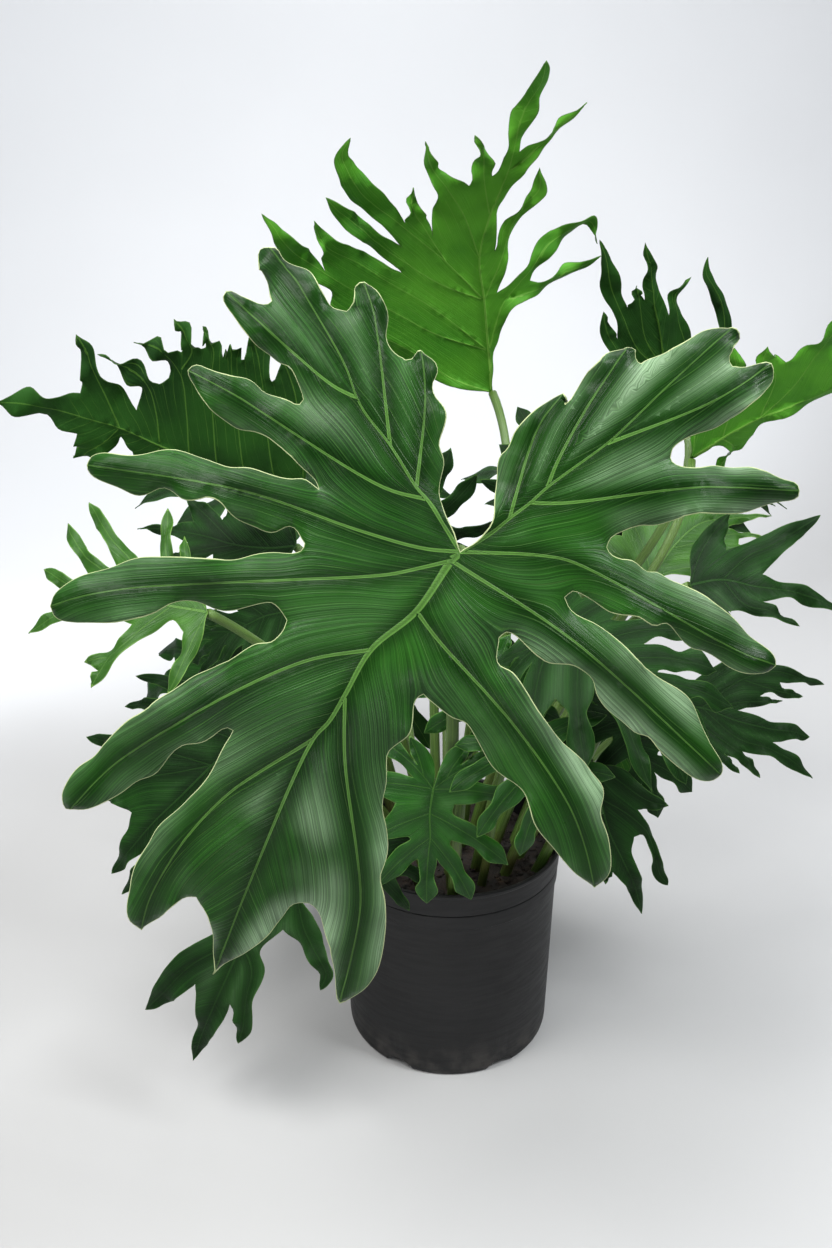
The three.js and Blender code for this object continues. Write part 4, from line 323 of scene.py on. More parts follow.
DRAWN_LOBES = {
    "tall_back": [
        Lobe("right_d", "right_c", 1, [(-27, 98, 6), (-51, 112, 5), (-70, 119, 4), (-82, 128)], (-14, 105)),
        Lobe("right_c", "end", 1, [(5, 87, 7), (-11, 115, 6), (-23, 140, 7), (-41, 154, 7), (-57, 161, 5),
             (-74, 139)], (14, 93)),
        Lobe("right_b", "end", 2, [(18, 121, 5), (18, 155, 5), (13, 176, 5), (6, 189, 5), (13, 209)], (25, 130)),
        Lobe("right_a", "end", 5, [(26, 216, 3), (18, 234, 3), (9, 251, 3), (0, 269)], (33, 220)),
        Lobe("end", None, 0, [(10, 39, 8), (23, 85, 8), (36, 123, 8), (38, 162, 8), (36, 202, 11), (41, 237, 6),
             (43, 266, 6), (42, 284, 7), (46, 301)], (47, 197)),
        Lobe("left_a", "end", 4, [(52, 193, 7), (59, 213, 5), (72, 230)], (62, 186)),
        Lobe("left_b", "end", 3, [(59, 160, 11), (78, 181, 13), (93, 195, 5), (108, 221)], (80, 139)),
        Lobe("left_c", "left_d", 1, [(88, 145, 6), (102, 162, 5), (106, 180)], (105, 148)),
        Lobe("left_d", "end", 2, [(62, 116, 11), (89, 134, 13), (119, 153, 12), (145, 170, 11), (165, 191, 9),
             (173, 205, 5), (169, 219)], (103, 127)),
        Lobe("left_e", "end", 2, [(63, 96, 8), (97, 113, 8), (127, 131, 7), (157, 151, 7), (177, 166)], (98, 103)),
        Lobe("left_f", "end", 1, [(66, 74, 11), (105, 93, 11), (140, 111, 11), (170, 125, 9), (184, 146)],
             (165, 101)),
        Lobe("left_g", "end", 1, [(58, 50, 11), (97, 67, 11), (151, 92, 12), (190, 114, 12), (208, 128, 7),
             (230, 151)], (156, 70)),
        Lobe("left_h", "end", 0, [(40, 11, 7), (78, 33, 12), (121, 50, 11), (160, 67, 8), (186, 86)]),
    ],
    "upper_left": [
        Lobe("lobe_h", "end", 0, [(-36, 10, 11), (-66, 19, 10), (-93, 33)], (-87, 36)),
        Lobe("lobe_g", "end", 1, [(-41, 38, 11), (-74, 47, 11), (-96, 55, 7), (-112, 62)], (-88, 63)),
        Lobe("lobe_f", "end", 2, [(-37, 60, 8), (-72, 70, 7), (-98, 75)], (-87, 79)),
        Lobe("lobe_e", "end", 3, [(-34, 79, 10), (-66, 86, 9), (-90, 87, 7), (-108, 98)], (-92, 93)),
        Lobe("lobe_d", "lobe_c", 2, [(-88, 103, 6), (-99, 109, 5), (-110, 119)], (-85, 111)),
        Lobe("lobe_c", "end", 4, [(-40, 101, 9), (-70, 110, 8), (-85, 127, 5), (-89, 146)], (-58, 124)),
        Lobe("lobe_b", "end", 5, [(-36, 124, 7), (-57, 133, 6), (-69, 151, 5), (-76, 172)], (-35, 139)),
        Lobe("lobe_a", "end", 6, [(-44, 163, 11), (-64, 174, 8), (-77, 180, 6), (-90, 188)], (-45, 182)),
        Lobe("end", None, 0, [(4, 24), (4, 49), (4, 71), (-2, 94), (-9, 118), (-20, 150, 10), (-26, 177, 11),
             (-31, 198, 11), (-34, 218, 10), (-36, 243)], (-12, 182)),
        Lobe("lobe_a_back", "end", 6, [(-5, 163, 11), (7, 174, 8), (16, 180, 6), (23, 188)], (0, 139)),
        Lobe("lobe_b_back", "end", 5, [(10, 124, 7), (22, 133, 6), (22, 151, 5), (18, 172)], (29, 124)),
        Lobe("lobe_c_back", "end", 4, [(26, 101, 9), (47, 110, 8), (50, 127, 5), (41, 146)], (59, 111)),
        Lobe("lobe_d_back", "lobe_c_back", 2, [(67, 103, 6), (72, 109, 5), (76, 119)], (76, 93)),
        Lobe("lobe_e_back", "end", 3, [(33, 79, 10), (57, 86, 9), (76, 87, 7), (86, 98)], (78, 79)),
        Lobe("lobe_f_back", "end", 2, [(39, 60, 8), (69, 70, 7), (89, 75)], (82, 63)),
        Lobe("lobe_g_back", "end", 1, [(42, 38, 11), (70, 47, 11), (88, 55, 7), (102, 62)], (82, 36)),
        Lobe("lobe_h_back", "end", 0, [(34, 10, 11), (62, 19, 10), (87, 33)]),
    ],
    "young_left": [
        Lobe("low_a", "end", 0, [(-17, 10, 6), (-37, 20, 5), (-53, 28, 5), (-62, 34)], (-14, 19)),
        Lobe("low_b", "end", 1, [(-1, 46, 8), (-13, 64, 6), (-24, 80, 7), (-37, 91, 5), (-45, 97)], (-33, 90)),
        Lobe("low_c", "low_b", 3, [(-23, 91, 4), (-23, 98, 3), (-23, 103)], (0, 61)),
        Lobe("end", None, 0, [(9, 28, 11), (20, 60, 8), (24, 91, 7), (24, 122, 5), (20, 147, 5), (17, 160)],
             (33, 104)),
        Lobe("up_a", "end", 3, [(39, 106, 5), (50, 122, 5), (63, 137, 5), (69, 144)], (43, 95)),
        Lobe("up_b", "end", 2, [(47, 82, 5), (67, 101, 5), (92, 116, 5), (107, 122)], (46, 71)),
        Lobe("up_c", "end", 2, [(48, 58, 6), (76, 77, 5), (106, 93, 5), (121, 101)], (32, 42)),
        Lobe("up_d", "end", 1, [(39, 30, 5), (65, 31, 5), (84, 29, 4), (95, 29)], (28, 22)),
        Lobe("up_e", "end", 0, [(27, 12, 5), (43, 15, 4), (58, 16, 3), (67, 16)]),
    ],
    "hanging_left": [
        Lobe("right_b", "end", 0, [(-19, 20, 12), (-39, 32, 8), (-57, 42, 7), (-59, 51, 4), (-60, 57)], (-6, 33)),
        Lobe("right_a", "end", 2, [(0, 82, 11), (-10, 114, 8), (-18, 135, 8), (-20, 147, 4), (-21, 154)], (2, 123)),
        Lobe("end", None, 0, [(10, 33, 13), (17, 68, 15), (15, 111, 14), (13, 152, 12), (11, 185, 6), (9, 208)],
             (37, 127)),
        Lobe("left_a", "end", 1, [(30, 78, 14), (49, 116, 14), (59, 155, 11), (65, 177, 6), (69, 191)]),
    ],
    "left_low": [
        Lobe("low_b", "end", 1, [(-5, 71, 10), (-7, 105, 9), (-7, 145, 8), (-3, 169, 5), (-1, 185)], (-6, 118)),
        Lobe("end", None, 0, [(4, 32, 15), (7, 70, 17), (12, 107, 15), (15, 139, 12), (17, 163, 7), (19, 179)],
             (35, 119)),
        Lobe("left_a", "end", 1, [(25, 61, 12), (45, 87, 10), (60, 116, 7), (67, 131, 4), (71, 140)], (54, 77)),
        Lobe("left_b", "end", 1, [(43, 55, 9), (70, 73, 8), (99, 94, 6), (114, 104, 4), (123, 110)], (59, 46)),
        Lobe("left_c", "end", 0, [(47, 22, 8), (77, 33, 7), (94, 44, 5), (103, 54, 3), (108, 60)], (66, 16)),
        Lobe("left_d", "end", 0, [(47, 2, 8), (77, 9, 7), (98, 19, 5), (112, 28, 3), (121, 34)]),
    ],
    "right_upper": [
        Lobe("right_b", "end", 0, [(-41, 3, 8), (-68, 18, 8), (-77, 50, 7), (-66, 83, 5), (-55, 103, 5), (-59, 116)],
             (-38, 39)),
        Lobe("right_a", "end", 0, [(-25, 39, 7), (-19, 79, 6), (-19, 101, 5), (-38, 107)], (-9, 83)),
        Lobe("end", None, 0, [(0, 33, 9), (1, 69, 10), (6, 106, 8), (8, 136, 5), (13, 164)], (14, 109)),
        Lobe("left_a", "end", 1, [(15, 70, 9), (18, 101, 8), (20, 125)], (29, 107)),
        Lobe("left_b", "end", 1, [(21, 60, 9), (34, 101, 8), (42, 131, 7), (46, 159, 5), (52, 182)], (39, 79)),
        Lobe("left_c", "end", 0, [(25, 35, 8), (40, 67, 7), (49, 93, 5), (50, 111)]),
    ],
    "far_right": [
        Lobe("low_a", "end", 1, [(-13, 38, 4), (-27, 28, 4), (-42, 21, 3), (-51, 17)], (-5, 57)),
        Lobe("end", None, 0, [(7, 32, 9), (11, 67, 8), (11, 102, 7), (14, 130, 8), (17, 150, 5), (19, 162)],
             (28, 138)),
        Lobe("up_a", "end", 2, [(29, 101, 12), (50, 125, 12), (62, 138, 8), (73, 150, 5), (79, 156)], (55, 102)),
        Lobe("up_b", "end", 2, [(47, 91, 9), (63, 85, 5), (72, 90, 3), (77, 92)], (58, 67)),
        Lobe("up_c", "end", 1, [(46, 56, 9), (68, 64, 7), (83, 65, 4), (92, 65)], (50, 40)),
        Lobe("up_d", "end", 0, [(53, 27, 8), (79, 37, 7), (92, 39, 4), (101, 40)]),
    ],
    "right_bright": [
        Lobe("left_c", "end", 0, [(-25, -13, 9), (-46, -23, 7), (-68, -27)], (-47, -4)),
        Lobe("left_b", "end", 0, [(-31, 9, 12), (-57, 13, 9), (-79, 20)], (-51, 36)),
        Lobe("left_a", "end", 1, [(-41, 47, 8), (-64, 60)], (-41, 64)),
        Lobe("end", None, 0, [(-16, 33, 13), (-26, 74, 10), (-18, 111, 6), (-5, 160)], (-12, 92)),
        Lobe("right_a", "end", 1, [(-9, 69, 6), (-2, 107, 4), (17, 138)], (7, 100)),
        Lobe("right_b", "right_a", 1, [(8, 85, 5), (19, 104, 5), (38, 116)], (3, 54)),
        Lobe("low_a", "end", 0, [(8, 39, 7), (22, 52, 6), (42, 53, 5), (62, 50)]),
    ],
    "right_mid": [
        Lobe("up_a", "end", 0, [(-27, 7, 8), (-49, 17, 7), (-64, 27, 4), (-73, 33)], (-37, 30)),
        Lobe("up_b", "end", 1, [(-36, 50, 11), (-51, 72, 11), (-71, 95, 7), (-85, 111, 4), (-94, 121)], (-22, 63)),
        Lobe("end", None, 0, [(-10, 28, 13), (-10, 57, 9), (-13, 85, 7), (-13, 111, 7), (-11, 133, 4), (-10, 147)],
             (2, 64)),
        Lobe("low_a", "end", 1, [(8, 48, 7), (9, 71, 6), (13, 88, 3), (16, 99)], (18, 33)),
        Lobe("low_b", "end", 0, [(17, 19, 8), (32, 33, 7), (44, 41, 4), (51, 46)]),
    ],
    "right_low": [
        Lobe("up_a", "end", 0, [(-28, 28, 8), (-48, 46, 6), (-62, 56, 4), (-71, 62)], (-50, 53)),
        Lobe("up_b", "end", 1, [(-42, 65, 9), (-61, 101, 7), (-65, 136, 4), (-69, 155, 3), (-71, 168)], (-52, 107)),
        Lobe("up_c", "up_b", 1, [(-42, 91, 6), (-44, 115, 4), (-46, 129, 3), (-48, 138)], (-32, 86)),
        Lobe("up_d", "end", 1, [(-23, 74, 5), (-30, 97, 3), (-35, 113)], (-12, 64)),
        Lobe("end", None, 0, [(-5, 28, 13), (-2, 63, 9), (-5, 103, 8), (-11, 134, 6), (-11, 144, 4), (-12, 151)],
             (7, 105)),
        Lobe("low_a", "end", 1, [(14, 67, 9), (14, 100, 8), (17, 128, 7), (22, 147, 4), (26, 159)], (25, 72)),
        Lobe("low_b", "end", 0, [(13, 32, 11), (22, 57, 7), (30, 77, 6), (39, 87, 4), (44, 94)], (32, 54)),
        Lobe("low_c", "end", 0, [(27, 30, 7), (36, 52, 4), (42, 65, 3), (46, 72)]),
    ],
    "hanging_right": [
        Lobe("right_a", "end", 0, [(-16, 21, 10), (-31, 44, 8), (-42, 55, 6), (-48, 59, 3), (-52, 62)], (-26, 55)),
        Lobe("right_b", "end", 1, [(-17, 56, 7), (-28, 78, 4), (-29, 104, 4), (-29, 124, 5), (-32, 132, 3),
             (-33, 136)], (-16, 77)),
        Lobe("end", None, 0, [(1, 33, 12), (3, 61, 13), (-1, 93, 10), (-5, 122, 7), (-5, 143, 4), (-5, 157)],
             (10, 102)),
        Lobe("left_a", "end", 1, [(12, 61, 7), (15, 86, 7), (17, 101, 4), (19, 111)], (22, 62)),
        Lobe("left_b", "end", 0, [(16, 27, 8), (29, 51, 7), (36, 65, 4), (40, 74)]),
    ],
    "left_dark": [
        Lobe("lobe_c_back", "end", 0, [(-24, 14, 9), (-51, 26)], (-25, 36)),
        Lobe("lobe_b_back", "end", 1, [(-27, 52, 10), (-43, 70)], (-16, 75)),
        Lobe("lobe_a_back", "end", 2, [(-13, 90, 9), (-21, 117)], (-5, 103)),
        Lobe("end", None, 0, [(-5, 23), (-5, 56), (2, 88, 8), (7, 123, 6), (10, 162)], (16, 103)),
        Lobe("lobe_a", "end", 2, [(21, 90, 9), (41, 117)], (19, 75)),
        Lobe("lobe_b", "end", 1, [(22, 52, 10), (49, 70)], (20, 36)),
        Lobe("lobe_c", "end", 0, [(24, 14, 9), (52, 26)]),
    ],
}


def draws(seed: int) -> Callable[[], float]:
    """A repeatable source of numbers from 0 to 1.

    Args:
        seed: where the row of numbers starts.

    Returns:
        A function that gives the next number.
    """
    state = seed

    def draw() -> float:
        """The next number."""
        nonlocal state
        state = (state * 1664525 + 1013904223) & 0xFFFFFFFF
        return state / 4294967296

    return draw


def mix(a: float, b: float, share: float) -> float:
    """The value between a and b."""
    return a + (b - a) * share


def between(a: Sequence[float], b: Sequence[float], share: float) -> Pair:
    """The point between a and b."""
    return mix(a[0], b[0], share), mix(a[1], b[1], share)


def span(a: Sequence[float], b: Sequence[float]) -> float:
    """How far apart two plan points are."""
    return math.hypot(b[0] - a[0], b[1] - a[1])


def along_line(points: Sequence[Sequence[float]], target: float) -> Pair:
    """The point at a distance along a line of points.

    Args:
        points: the line.
        target: the distance from its start.

    Returns:
        The point there, or beyond the last stretch.
    """
    index, before = 1, 0.0
    while index < len(points) - 1 and before + span(points[index - 1], points[index]) < target:
        before += span(points[index - 1], points[index])
        index += 1
    stretch = span(points[index - 1], points[index])
    return between(points[index - 1], points[index], (target - before) / stretch)


def smooth_curve(points: Sequence[Sequence[float]], steps: int = 10) -> np.ndarray:
    """A centripetal curve through plan points.

    Args:
        points: the drawn points.
        steps: how many pieces each stretch is cut into.

    Returns:
        The curve's points, one row each.
    """
    knots = [np.array(p[:2], float) for p in points]
    if len(knots) == 2:
        return np.array(knots)
    padded = [2 * knots[0] - knots[1], *knots, 2 * knots[-1] - knots[-2]]
    rows = []
    for index in range(1, len(padded) - 2):
        p0, p1, p2, p3 = padded[index - 1 : index + 3]
        d0, d1, d2 = (math.sqrt(float(np.linalg.norm(b - a))) for a, b in ((p0, p1), (p1, p2), (p2, p3)))
        t1 = ((p1 - p0) / d0 - (p2 - p0) / (d0 + d1) + (p2 - p1) / d1) * d1
        t2 = ((p2 - p1) / d1 - (p3 - p1) / (d1 + d2) + (p3 - p2) / d2) * d1
        last = index == len(padded) - 3
        for t in np.arange(steps + last) / steps:
            a = 2 * p1 - 2 * p2 + t1 + t2
            b = -3 * p1 + 3 * p2 - 2 * t1 - t2
            rows.append(a * t**3 + b * t**2 + t1 * t + p1)
    return np.array(rows)


def unit(vectors: np.ndarray) -> np.ndarray:
    """One vector or a row of them, each made one long."""
    return vectors / np.maximum(np.linalg.norm(vectors, axis=-1, keepdims=True), TINY)


def lengths_along(points: np.ndarray) -> np.ndarray:
    """The distance of each point of a line from its start."""
    return np.concatenate([[0.0], np.cumsum(np.linalg.norm(np.diff(points, axis=0), axis=1))])


def resampled(points: np.ndarray, step: float) -> tuple[np.ndarray, np.ndarray]:
    """Even points along a line, its two ends included.

    Args:
        points: the line.
        step: the wanted distance between points.

    Returns:
        The points, and their shares of the whole length.
    """
    runs = lengths_along(points)
    count = max(1, round(runs[-1] / step))
    shares = np.linspace(0, 1, count + 1)
    spots = [np.interp(shares * runs[-1], runs, points[:, axis]) for axis in range(points.shape[1])]
    return np.stack(spots, axis=1), shares


class LeafPlan:
    """The flat outline of a leaf: lobes in order, each with a rib and two margins."""

    def __init__(self, lobes: Sequence[Lobe]) -> None:
        """Works out the ribs' starting points, and the margins where they aren't drawn.

        Args:
            lobes: the lobes, clockwise from the open notch behind the joint.
        """
        self.lobes = {lobe.name: lobe for lobe in lobes}
        self.order = [lobe.name for lobe in lobes]
        for lobe in lobes:
            lobe.points = self.knots(lobe.name)
        if not lobes[0].rise:
            self.grow_margins()

    def knots(self, name: str) -> list[Point]:
        """The rib's points, from the one on the rib that it forks off."""
        lobe = self.lobes[name]
        start = self.knots(lobe.parent)[lobe.fork] if lobe.parent else JOINT
        return [start, *lobe.rib]

    def path(self, name: str) -> list[tuple[tuple[str, int], Point]]:
        """The points from the joint to the tip of a lobe.

        Args:
            name: the lobe.

        Returns:
            Each point, with the rib and place it belongs to before it.
        """
        lobe = self.lobes[name]
        own = [((name, index), point) for index, point in enumerate(self.knots(name))]
        if not lobe.parent:
            return own
        trunk = self.path(lobe.parent)[: self.fork_depth(name)]
        return [*trunk, *own[1:]]

    def fork_depth(self, name: str) -> int:
        """How many points of the path from the joint come before the rib's own."""
        lobe = self.lobes[name]
        before = self.fork_depth(lobe.parent) if self.lobes[lobe.parent].parent else 1
        return before + lobe.fork

    def apart(self, first: str, second: str) -> tuple[list[Point], ...]:
        """The paths of two lobes from the last point that they share.

        Args:
            first: a lobe.
            second: the lobe after it.

        Returns:
            The two paths.
        """
        one, two = self.path(first), self.path(second)
        shared = 0
        while shared < min(len(one), len(two)) and one[shared][0] == two[shared][0]:
            shared += 1
        return tuple([point for _, point in path[shared - 1 :]] for path in (one, two))

    @staticmethod
    def margin(path: list[Point], side: int, clear: float, neighbour: Optional[list[Point]] = None) -> list[Pair]:
        """One margin of a lobe: its rib's points moved sideways by the half-width there.

        Args:
            path: the points of the rib.
            side: 1 for the clockwise side, -1 for the other.
            clear: points nearer the start than this are left out.
            neighbour: the next lobe's path, which keeps the margin off it.

        Returns:
            The margin's points from the start outward.
        """
        margin, run = [], 0.0
        for index in range(1, len(path) - 1):
            run += span(path[index - 1], path[index])
            x, y, *half = path[index]
            if not half or run < clear:
                continue
            behind, ahead = path[index - 1], path[index + 1]
            if neighbour:
                half.append(MARGIN_ROOM * path_distance((x, y), neighbour))
            reach = side * min(half) / span(behind, ahead)
            margin.append((x + (ahead[1] - behind[1]) * reach, y - (ahead[0] - behind[0]) * reach))
        return margin

    def grow_margins(self) -> None:
        """Gives every lobe its two margins from the widths along its rib."""
        first, last = self.lobes[self.order[0]], self.lobes[self.order[-1]]
        first.rise = self.margin([p for _, p in self.path(first.name)], -1, 0)
        last.fall = [*self.margin([p for _, p in self.path(last.name)], 1, 0)[::-1], JOINT]
        for name, after in zip(self.order, self.order[1:]):
            notch = self.lobes[name].notch
            one, two = self.apart(name, after)
            clear = span(one[0], notch) * NOTCH_CLEAR
            self.lobes[name].fall = [*self.margin(one, 1, clear, two)[::-1], notch]
            self.lobes[after].rise = self.margin(two, -1, clear, one)

    def ribs(self, step: float) -> list[tuple[np.ndarray, float, bool]]:
        """The ribs as even lines.

        Args:
            step: the distance between points.

        Returns:
            For each rib its points, how far along from the joint it starts, and whether it is the midrib.
        """
        starts: dict[str, float] = {}
        rows = []
        pending = list(self.order)
        while pending:
            name = pending.pop(0)
            lobe = self.lobes[name]
            if lobe.parent and lobe.parent not in starts:
                pending.append(name)
                continue
            start = 0.0
            if lobe.parent:
                trunk = smooth_curve(self.lobes[lobe.parent].points)
                per_knot = (len(trunk) - 1) // (len(self.lobes[lobe.parent].points) - 1)
                start = starts[lobe.parent] + lengths_along(trunk)[lobe.fork * per_knot]
            starts[name] = start
            line, _ = resampled(smooth_curve(lobe.points), step)
            rows.append((line, start, lobe.parent is None))
        return rows

    def outline(self, step: float) -> tuple[np.ndarray, np.ndarray]:
        """The whole edge of the blade as one loop, with the wave of its margins.

        Args:
            step: the distance between points.

        Returns:
            The loop's points and the wave at each, from -1 to 1.
        """
        loop, waves = [], []
        start = JOINT
        for index, name in enumerate(self.order):
            lobe = self.lobes[name]
            tip = lobe.points[-1]
            end = lobe.fall[-1]
            for knots, falling in (([start, *lobe.rise, tip], False), ([end, *lobe.fall[:-1][::-1], tip], True)):
                line, shares = resampled(smooth_curve(knots), step)
                shift = index * WAVE_SHIFT_PER_LOBE + (WAVE_SHIFT_FALLING if falling else 0)
                wave = np.sin(np.pi * shares) * np.sin(2 * np.pi * WAVES_PER_MARGIN * shares + shift)
                if falling:
                    line, wave = line[::-1], wave[::-1]
                loop.append(line[:-1])
                waves.append(wave[:-1])
            start = end
        return np.concatenate(loop), np.concatenate(waves)


def path_distance(point: Pair, path: Sequence[Sequence[float]]) -> float:
    """How far a point is from a line of points.

    Args:
        point: the point.
        path: the line.

    Returns:
        The shortest distance.
    """
    best = math.inf
    for start, end in zip(path, path[1:]):
        run = span(start, end)
        dot = (point[0] - start[0]) * (end[0] - start[0]) + (point[1] - start[1]) * (end[1] - start[1])
        best = min(best, span(point, between(start, end, min(1.0, max(0.0, dot / (run * run))))))
    return best


def bent_rib(root: Point, length: float, angle: float, bend: float, widths: list[float]) -> list[Point]:
    """A rib that leaves at one angle and bends to another on the way to its tip.

    Args:
        root: where it starts.
        length: how long it is.
        angle: its mean angle from the leaf's axis, clockwise.
        bend: how much the angle changes along it.
        widths: the lobe's half-widths at its points but the tip.

    Returns:
        The rib's points after the root, with their half-widths.
    """
    steps = len(widths) + 1
    points = []
    x, y = root[0], root[1]
    for step in range(1, steps + 1):
        turn = angle + bend * ((step - 0.5) / steps - 0.5)
        x += (length / steps) * math.sin(turn)
        y += (length / steps) * math.cos(turn)
        points.append((x, y, *widths[step - 1 : step]))
    return points


def cut_lobes(cut: Cut, length: float, draw: Callable[[], float]) -> list[Lobe]:
    """The lobes of a grown leaf: back lobes that fork, side lobes along the midrib, and the end lobe.

    Args:
        cut: the kind of leaf.
        length: from the joint to the end tip.
        draw: the source of its small differences.

    Returns:
        The lobes in order, each with the notch after it.
    """

    def swing() -> float:
        """A number from -1 to 1."""
        return 2 * draw() - 1

    def ragged(widths: Iterable[float]) -> list[float]:
        """Half-widths along one lobe."""
        return [width * length * cut.half_width * (1 + cut.ragged * swing()) for width in widths]

    sides = cut.side_lobes
    midrib = [
        (length * MIDRIB_SWAY * math.sin(index * SWAY_STEP), length * cut.root_span * index / (sides - 1))
        for index in range(1, sides)
    ]
    lean, bend = math.radians(4 * swing()), math.radians(9 * swing())
    end = bent_rib(midrib[-1], length - midrib[-1][1], lean, bend, ragged(LOBE_WIDTHS))
    rows: dict[str, list[Lobe]] = {}
    for side, sign in (("left", -1), ("right", 1)):
        row = []
        for index in range(sides):
            share = index / (sides - 1)
            root = midrib[index - 1] if index else JOINT
            angle = mix(cut.first_angle, cut.last_angle, share) + 5 * swing()
            reach = mix(cut.first_reach, cut.last_reach, share) * (1 + 0.09 * swing())
            widths = ragged(LOBE_WIDTHS)
            rib = bent_rib(root, length * reach, sign * math.radians(angle), -sign * SIDE_BEND, widths)
            row.append(Lobe(f"{side}_{index}", "end", index, rib))
        angle = sign * math.radians(cut.back_angle + 6 * swing())
        reach = length * cut.back_reach * (1 + 0.08 * swing())
        back = bent_rib(JOINT, reach, angle, -sign * BACK_BEND, ragged(LOBE_WIDTHS))
        fork_angle = angle + sign * math.radians(cut.fork_angle)
        fork = bent_rib(back[0], reach * FORK_REACH, fork_angle, -sign * FORK_BEND, ragged(FORK_WIDTHS))
        rows[side] = [Lobe(f"{side}_fork", f"{side}_back", 1, fork), Lobe(f"{side}_back", "end", 0, back), *row]
    lobes = [*rows["left"], Lobe("end", None, 0, [*midrib, *end]), *rows["right"][::-1]]
    for lobe in lobes:
        lobe.rise = [JOINT]
    plan = LeafPlan(lobes)
    for first, second in zip(lobes, lobes[1:]):
        one, two = plan.apart(first.name, second.name)
        depth = cut.notch * (1 + NOTCH_SCATTER * swing())
        whole = [sum(span(a, b) for a, b in zip(path, path[1:])) for path in (one, two)]
        reach = depth * min(whole)
        first.notch = between(along_line(one, reach), along_line(two, reach), 0.5)
    for lobe in lobes:
        lobe.rise = []
    return lobes


def front_bend(points: np.ndarray, wave: np.ndarray, across: np.ndarray) -> np.ndarray:
    """Bends the front leaf away from its focus, so that its outline as seen from there stays.

    Args:
        points: plan points.
        wave: how far the margin's wave lifts each.
        across: 0 on a rib, 1 on the margin.

    Returns:
        The bent points.
    """
    reach = np.hypot(points[:, 0], points[:, 1])
    rise = -FRONT_DROOP * reach**2
    rise -= FRONT_FALL * np.minimum(points[:, 1] - FRONT_FALL_START, 0) ** 2
    rise += FRONT_WAVE * wave - FRONT_CURL * across**2 * np.minimum(1, reach / FRONT_CURL_START)
    flat = np.column_stack([points, np.zeros(len(points))])
    return flat + (FRONT_FOCUS - flat) * (rise / FRONT_FOCUS[2])[:, None]


def plain_bend(leaf: Leaf, points: np.ndarray, wave: np.ndarray) -> np.ndarray:
    """Bends any other leaf: arched along its axis, drooping to the sides, folded along the midrib.

    Args:
        leaf: the leaf.
        points: plan points.
        wave: how far the margin's wave lifts each.

    Returns:
        The bent points.
    """
    x, y = points[:, 0], points[:, 1]
    arch = math.radians(leaf.bend.arch) / leaf.length
    droop = math.radians(leaf.bend.droop) / leaf.length
    reach = np.hypot(x, y) / leaf.length
    height = -(1 - np.cos(arch * y)) / arch - (1 - np.cos(droop * x)) / droop
    height += leaf.bend.fold * (np.hypot(x, FOLD_SOFTNESS) - FOLD_SOFTNESS)
    height += leaf.wave * leaf.length * wave - leaf.bend.tip_drop * leaf.length * reach**3
    return np.column_stack([np.sin(droop * x) / droop, np.sin(arch * y) / arch, height])


def direction(angles: Pair) -> np.ndarray:
    """The unit vector of an azimuth and an elevation in degrees."""
    azimuth, elevation = (math.radians(value) for value in angles)
    level = math.cos(elevation)
    return np.array([level * math.cos(azimuth), level * math.sin(azimuth), math.sin(elevation)])


def blade_turn(leaf: Leaf) -> np.ndarray:
    """The blade's own axes as columns: to its side, along it and out of its upper face."""
    along = direction(leaf.aim)
    side = unit(np.cross(along, direction(leaf.face)))
    return np.column_stack([side, along, np.cross(side, along)])


def inside(points: np.ndarray, loop: np.ndarray) -> np.ndarray:
    """Which points lie inside a closed loop.

    Args:
        points: the points.
        loop: the loop's corners.

    Returns:
        True for each point inside.
    """
    a, b = loop, np.roll(loop, -1, axis=0)
    result = np.zeros(len(points), bool)
    for first in range(0, len(points), CHUNK):
        x, y = points[first : first + CHUNK, :1], points[first : first + CHUNK, 1:2]
        spans = (a[:, 1] > y) != (b[:, 1] > y)
        rise = np.where(b[:, 1] == a[:, 1], 1, b[:, 1] - a[:, 1])
        hits = spans & (x < a[:, 0] + (y - a[:, 1]) * (b[:, 0] - a[:, 0]) / rise)
        result[first : first + CHUNK] = hits.sum(axis=1) % 2 == 1
    return result


def nearest_on(points: np.ndarray, line: np.ndarray) -> tuple[np.ndarray, np.ndarray, np.ndarray]:
    """The nearest place on a line for each point.

    Args:
        points: the points.
        line: the line's points.

    Returns:
        The distances, the stretch of the line that is nearest, and the share along that stretch.
    """
    a, d = line[:-1], np.diff(line, axis=0)
    size = np.maximum((d**2).sum(axis=1), TINY)
    far, which, share = [], [], []
    for first in range(0, len(points), CHUNK):
        p = points[first : first + CHUNK]
        t = ((p @ d.T) - (a * d).sum(axis=1)) / size
        t = np.clip(t, 0, 1)
        dx = p[:, :1] - (a[:, 0] + t * d[:, 0])
        dy = p[:, 1:2] - (a[:, 1] + t * d[:, 1])
        gap = dx * dx + dy * dy
        best = gap.argmin(axis=1)
        rows = np.arange(len(p))
        far.append(np.sqrt(gap[rows, best]))
        which.append(best)
        share.append(t[rows, best])
    return np.concatenate(far), np.concatenate(which), np.concatenate(share)


def edges_of(triangles: np.ndarray) -> np.ndarray:
    """The three edges of every triangle, each as two points in its turning order."""
    return np.concatenate([triangles[:, [0, 1]], triangles[:, [1, 2]], triangles[:, [2, 0]]])


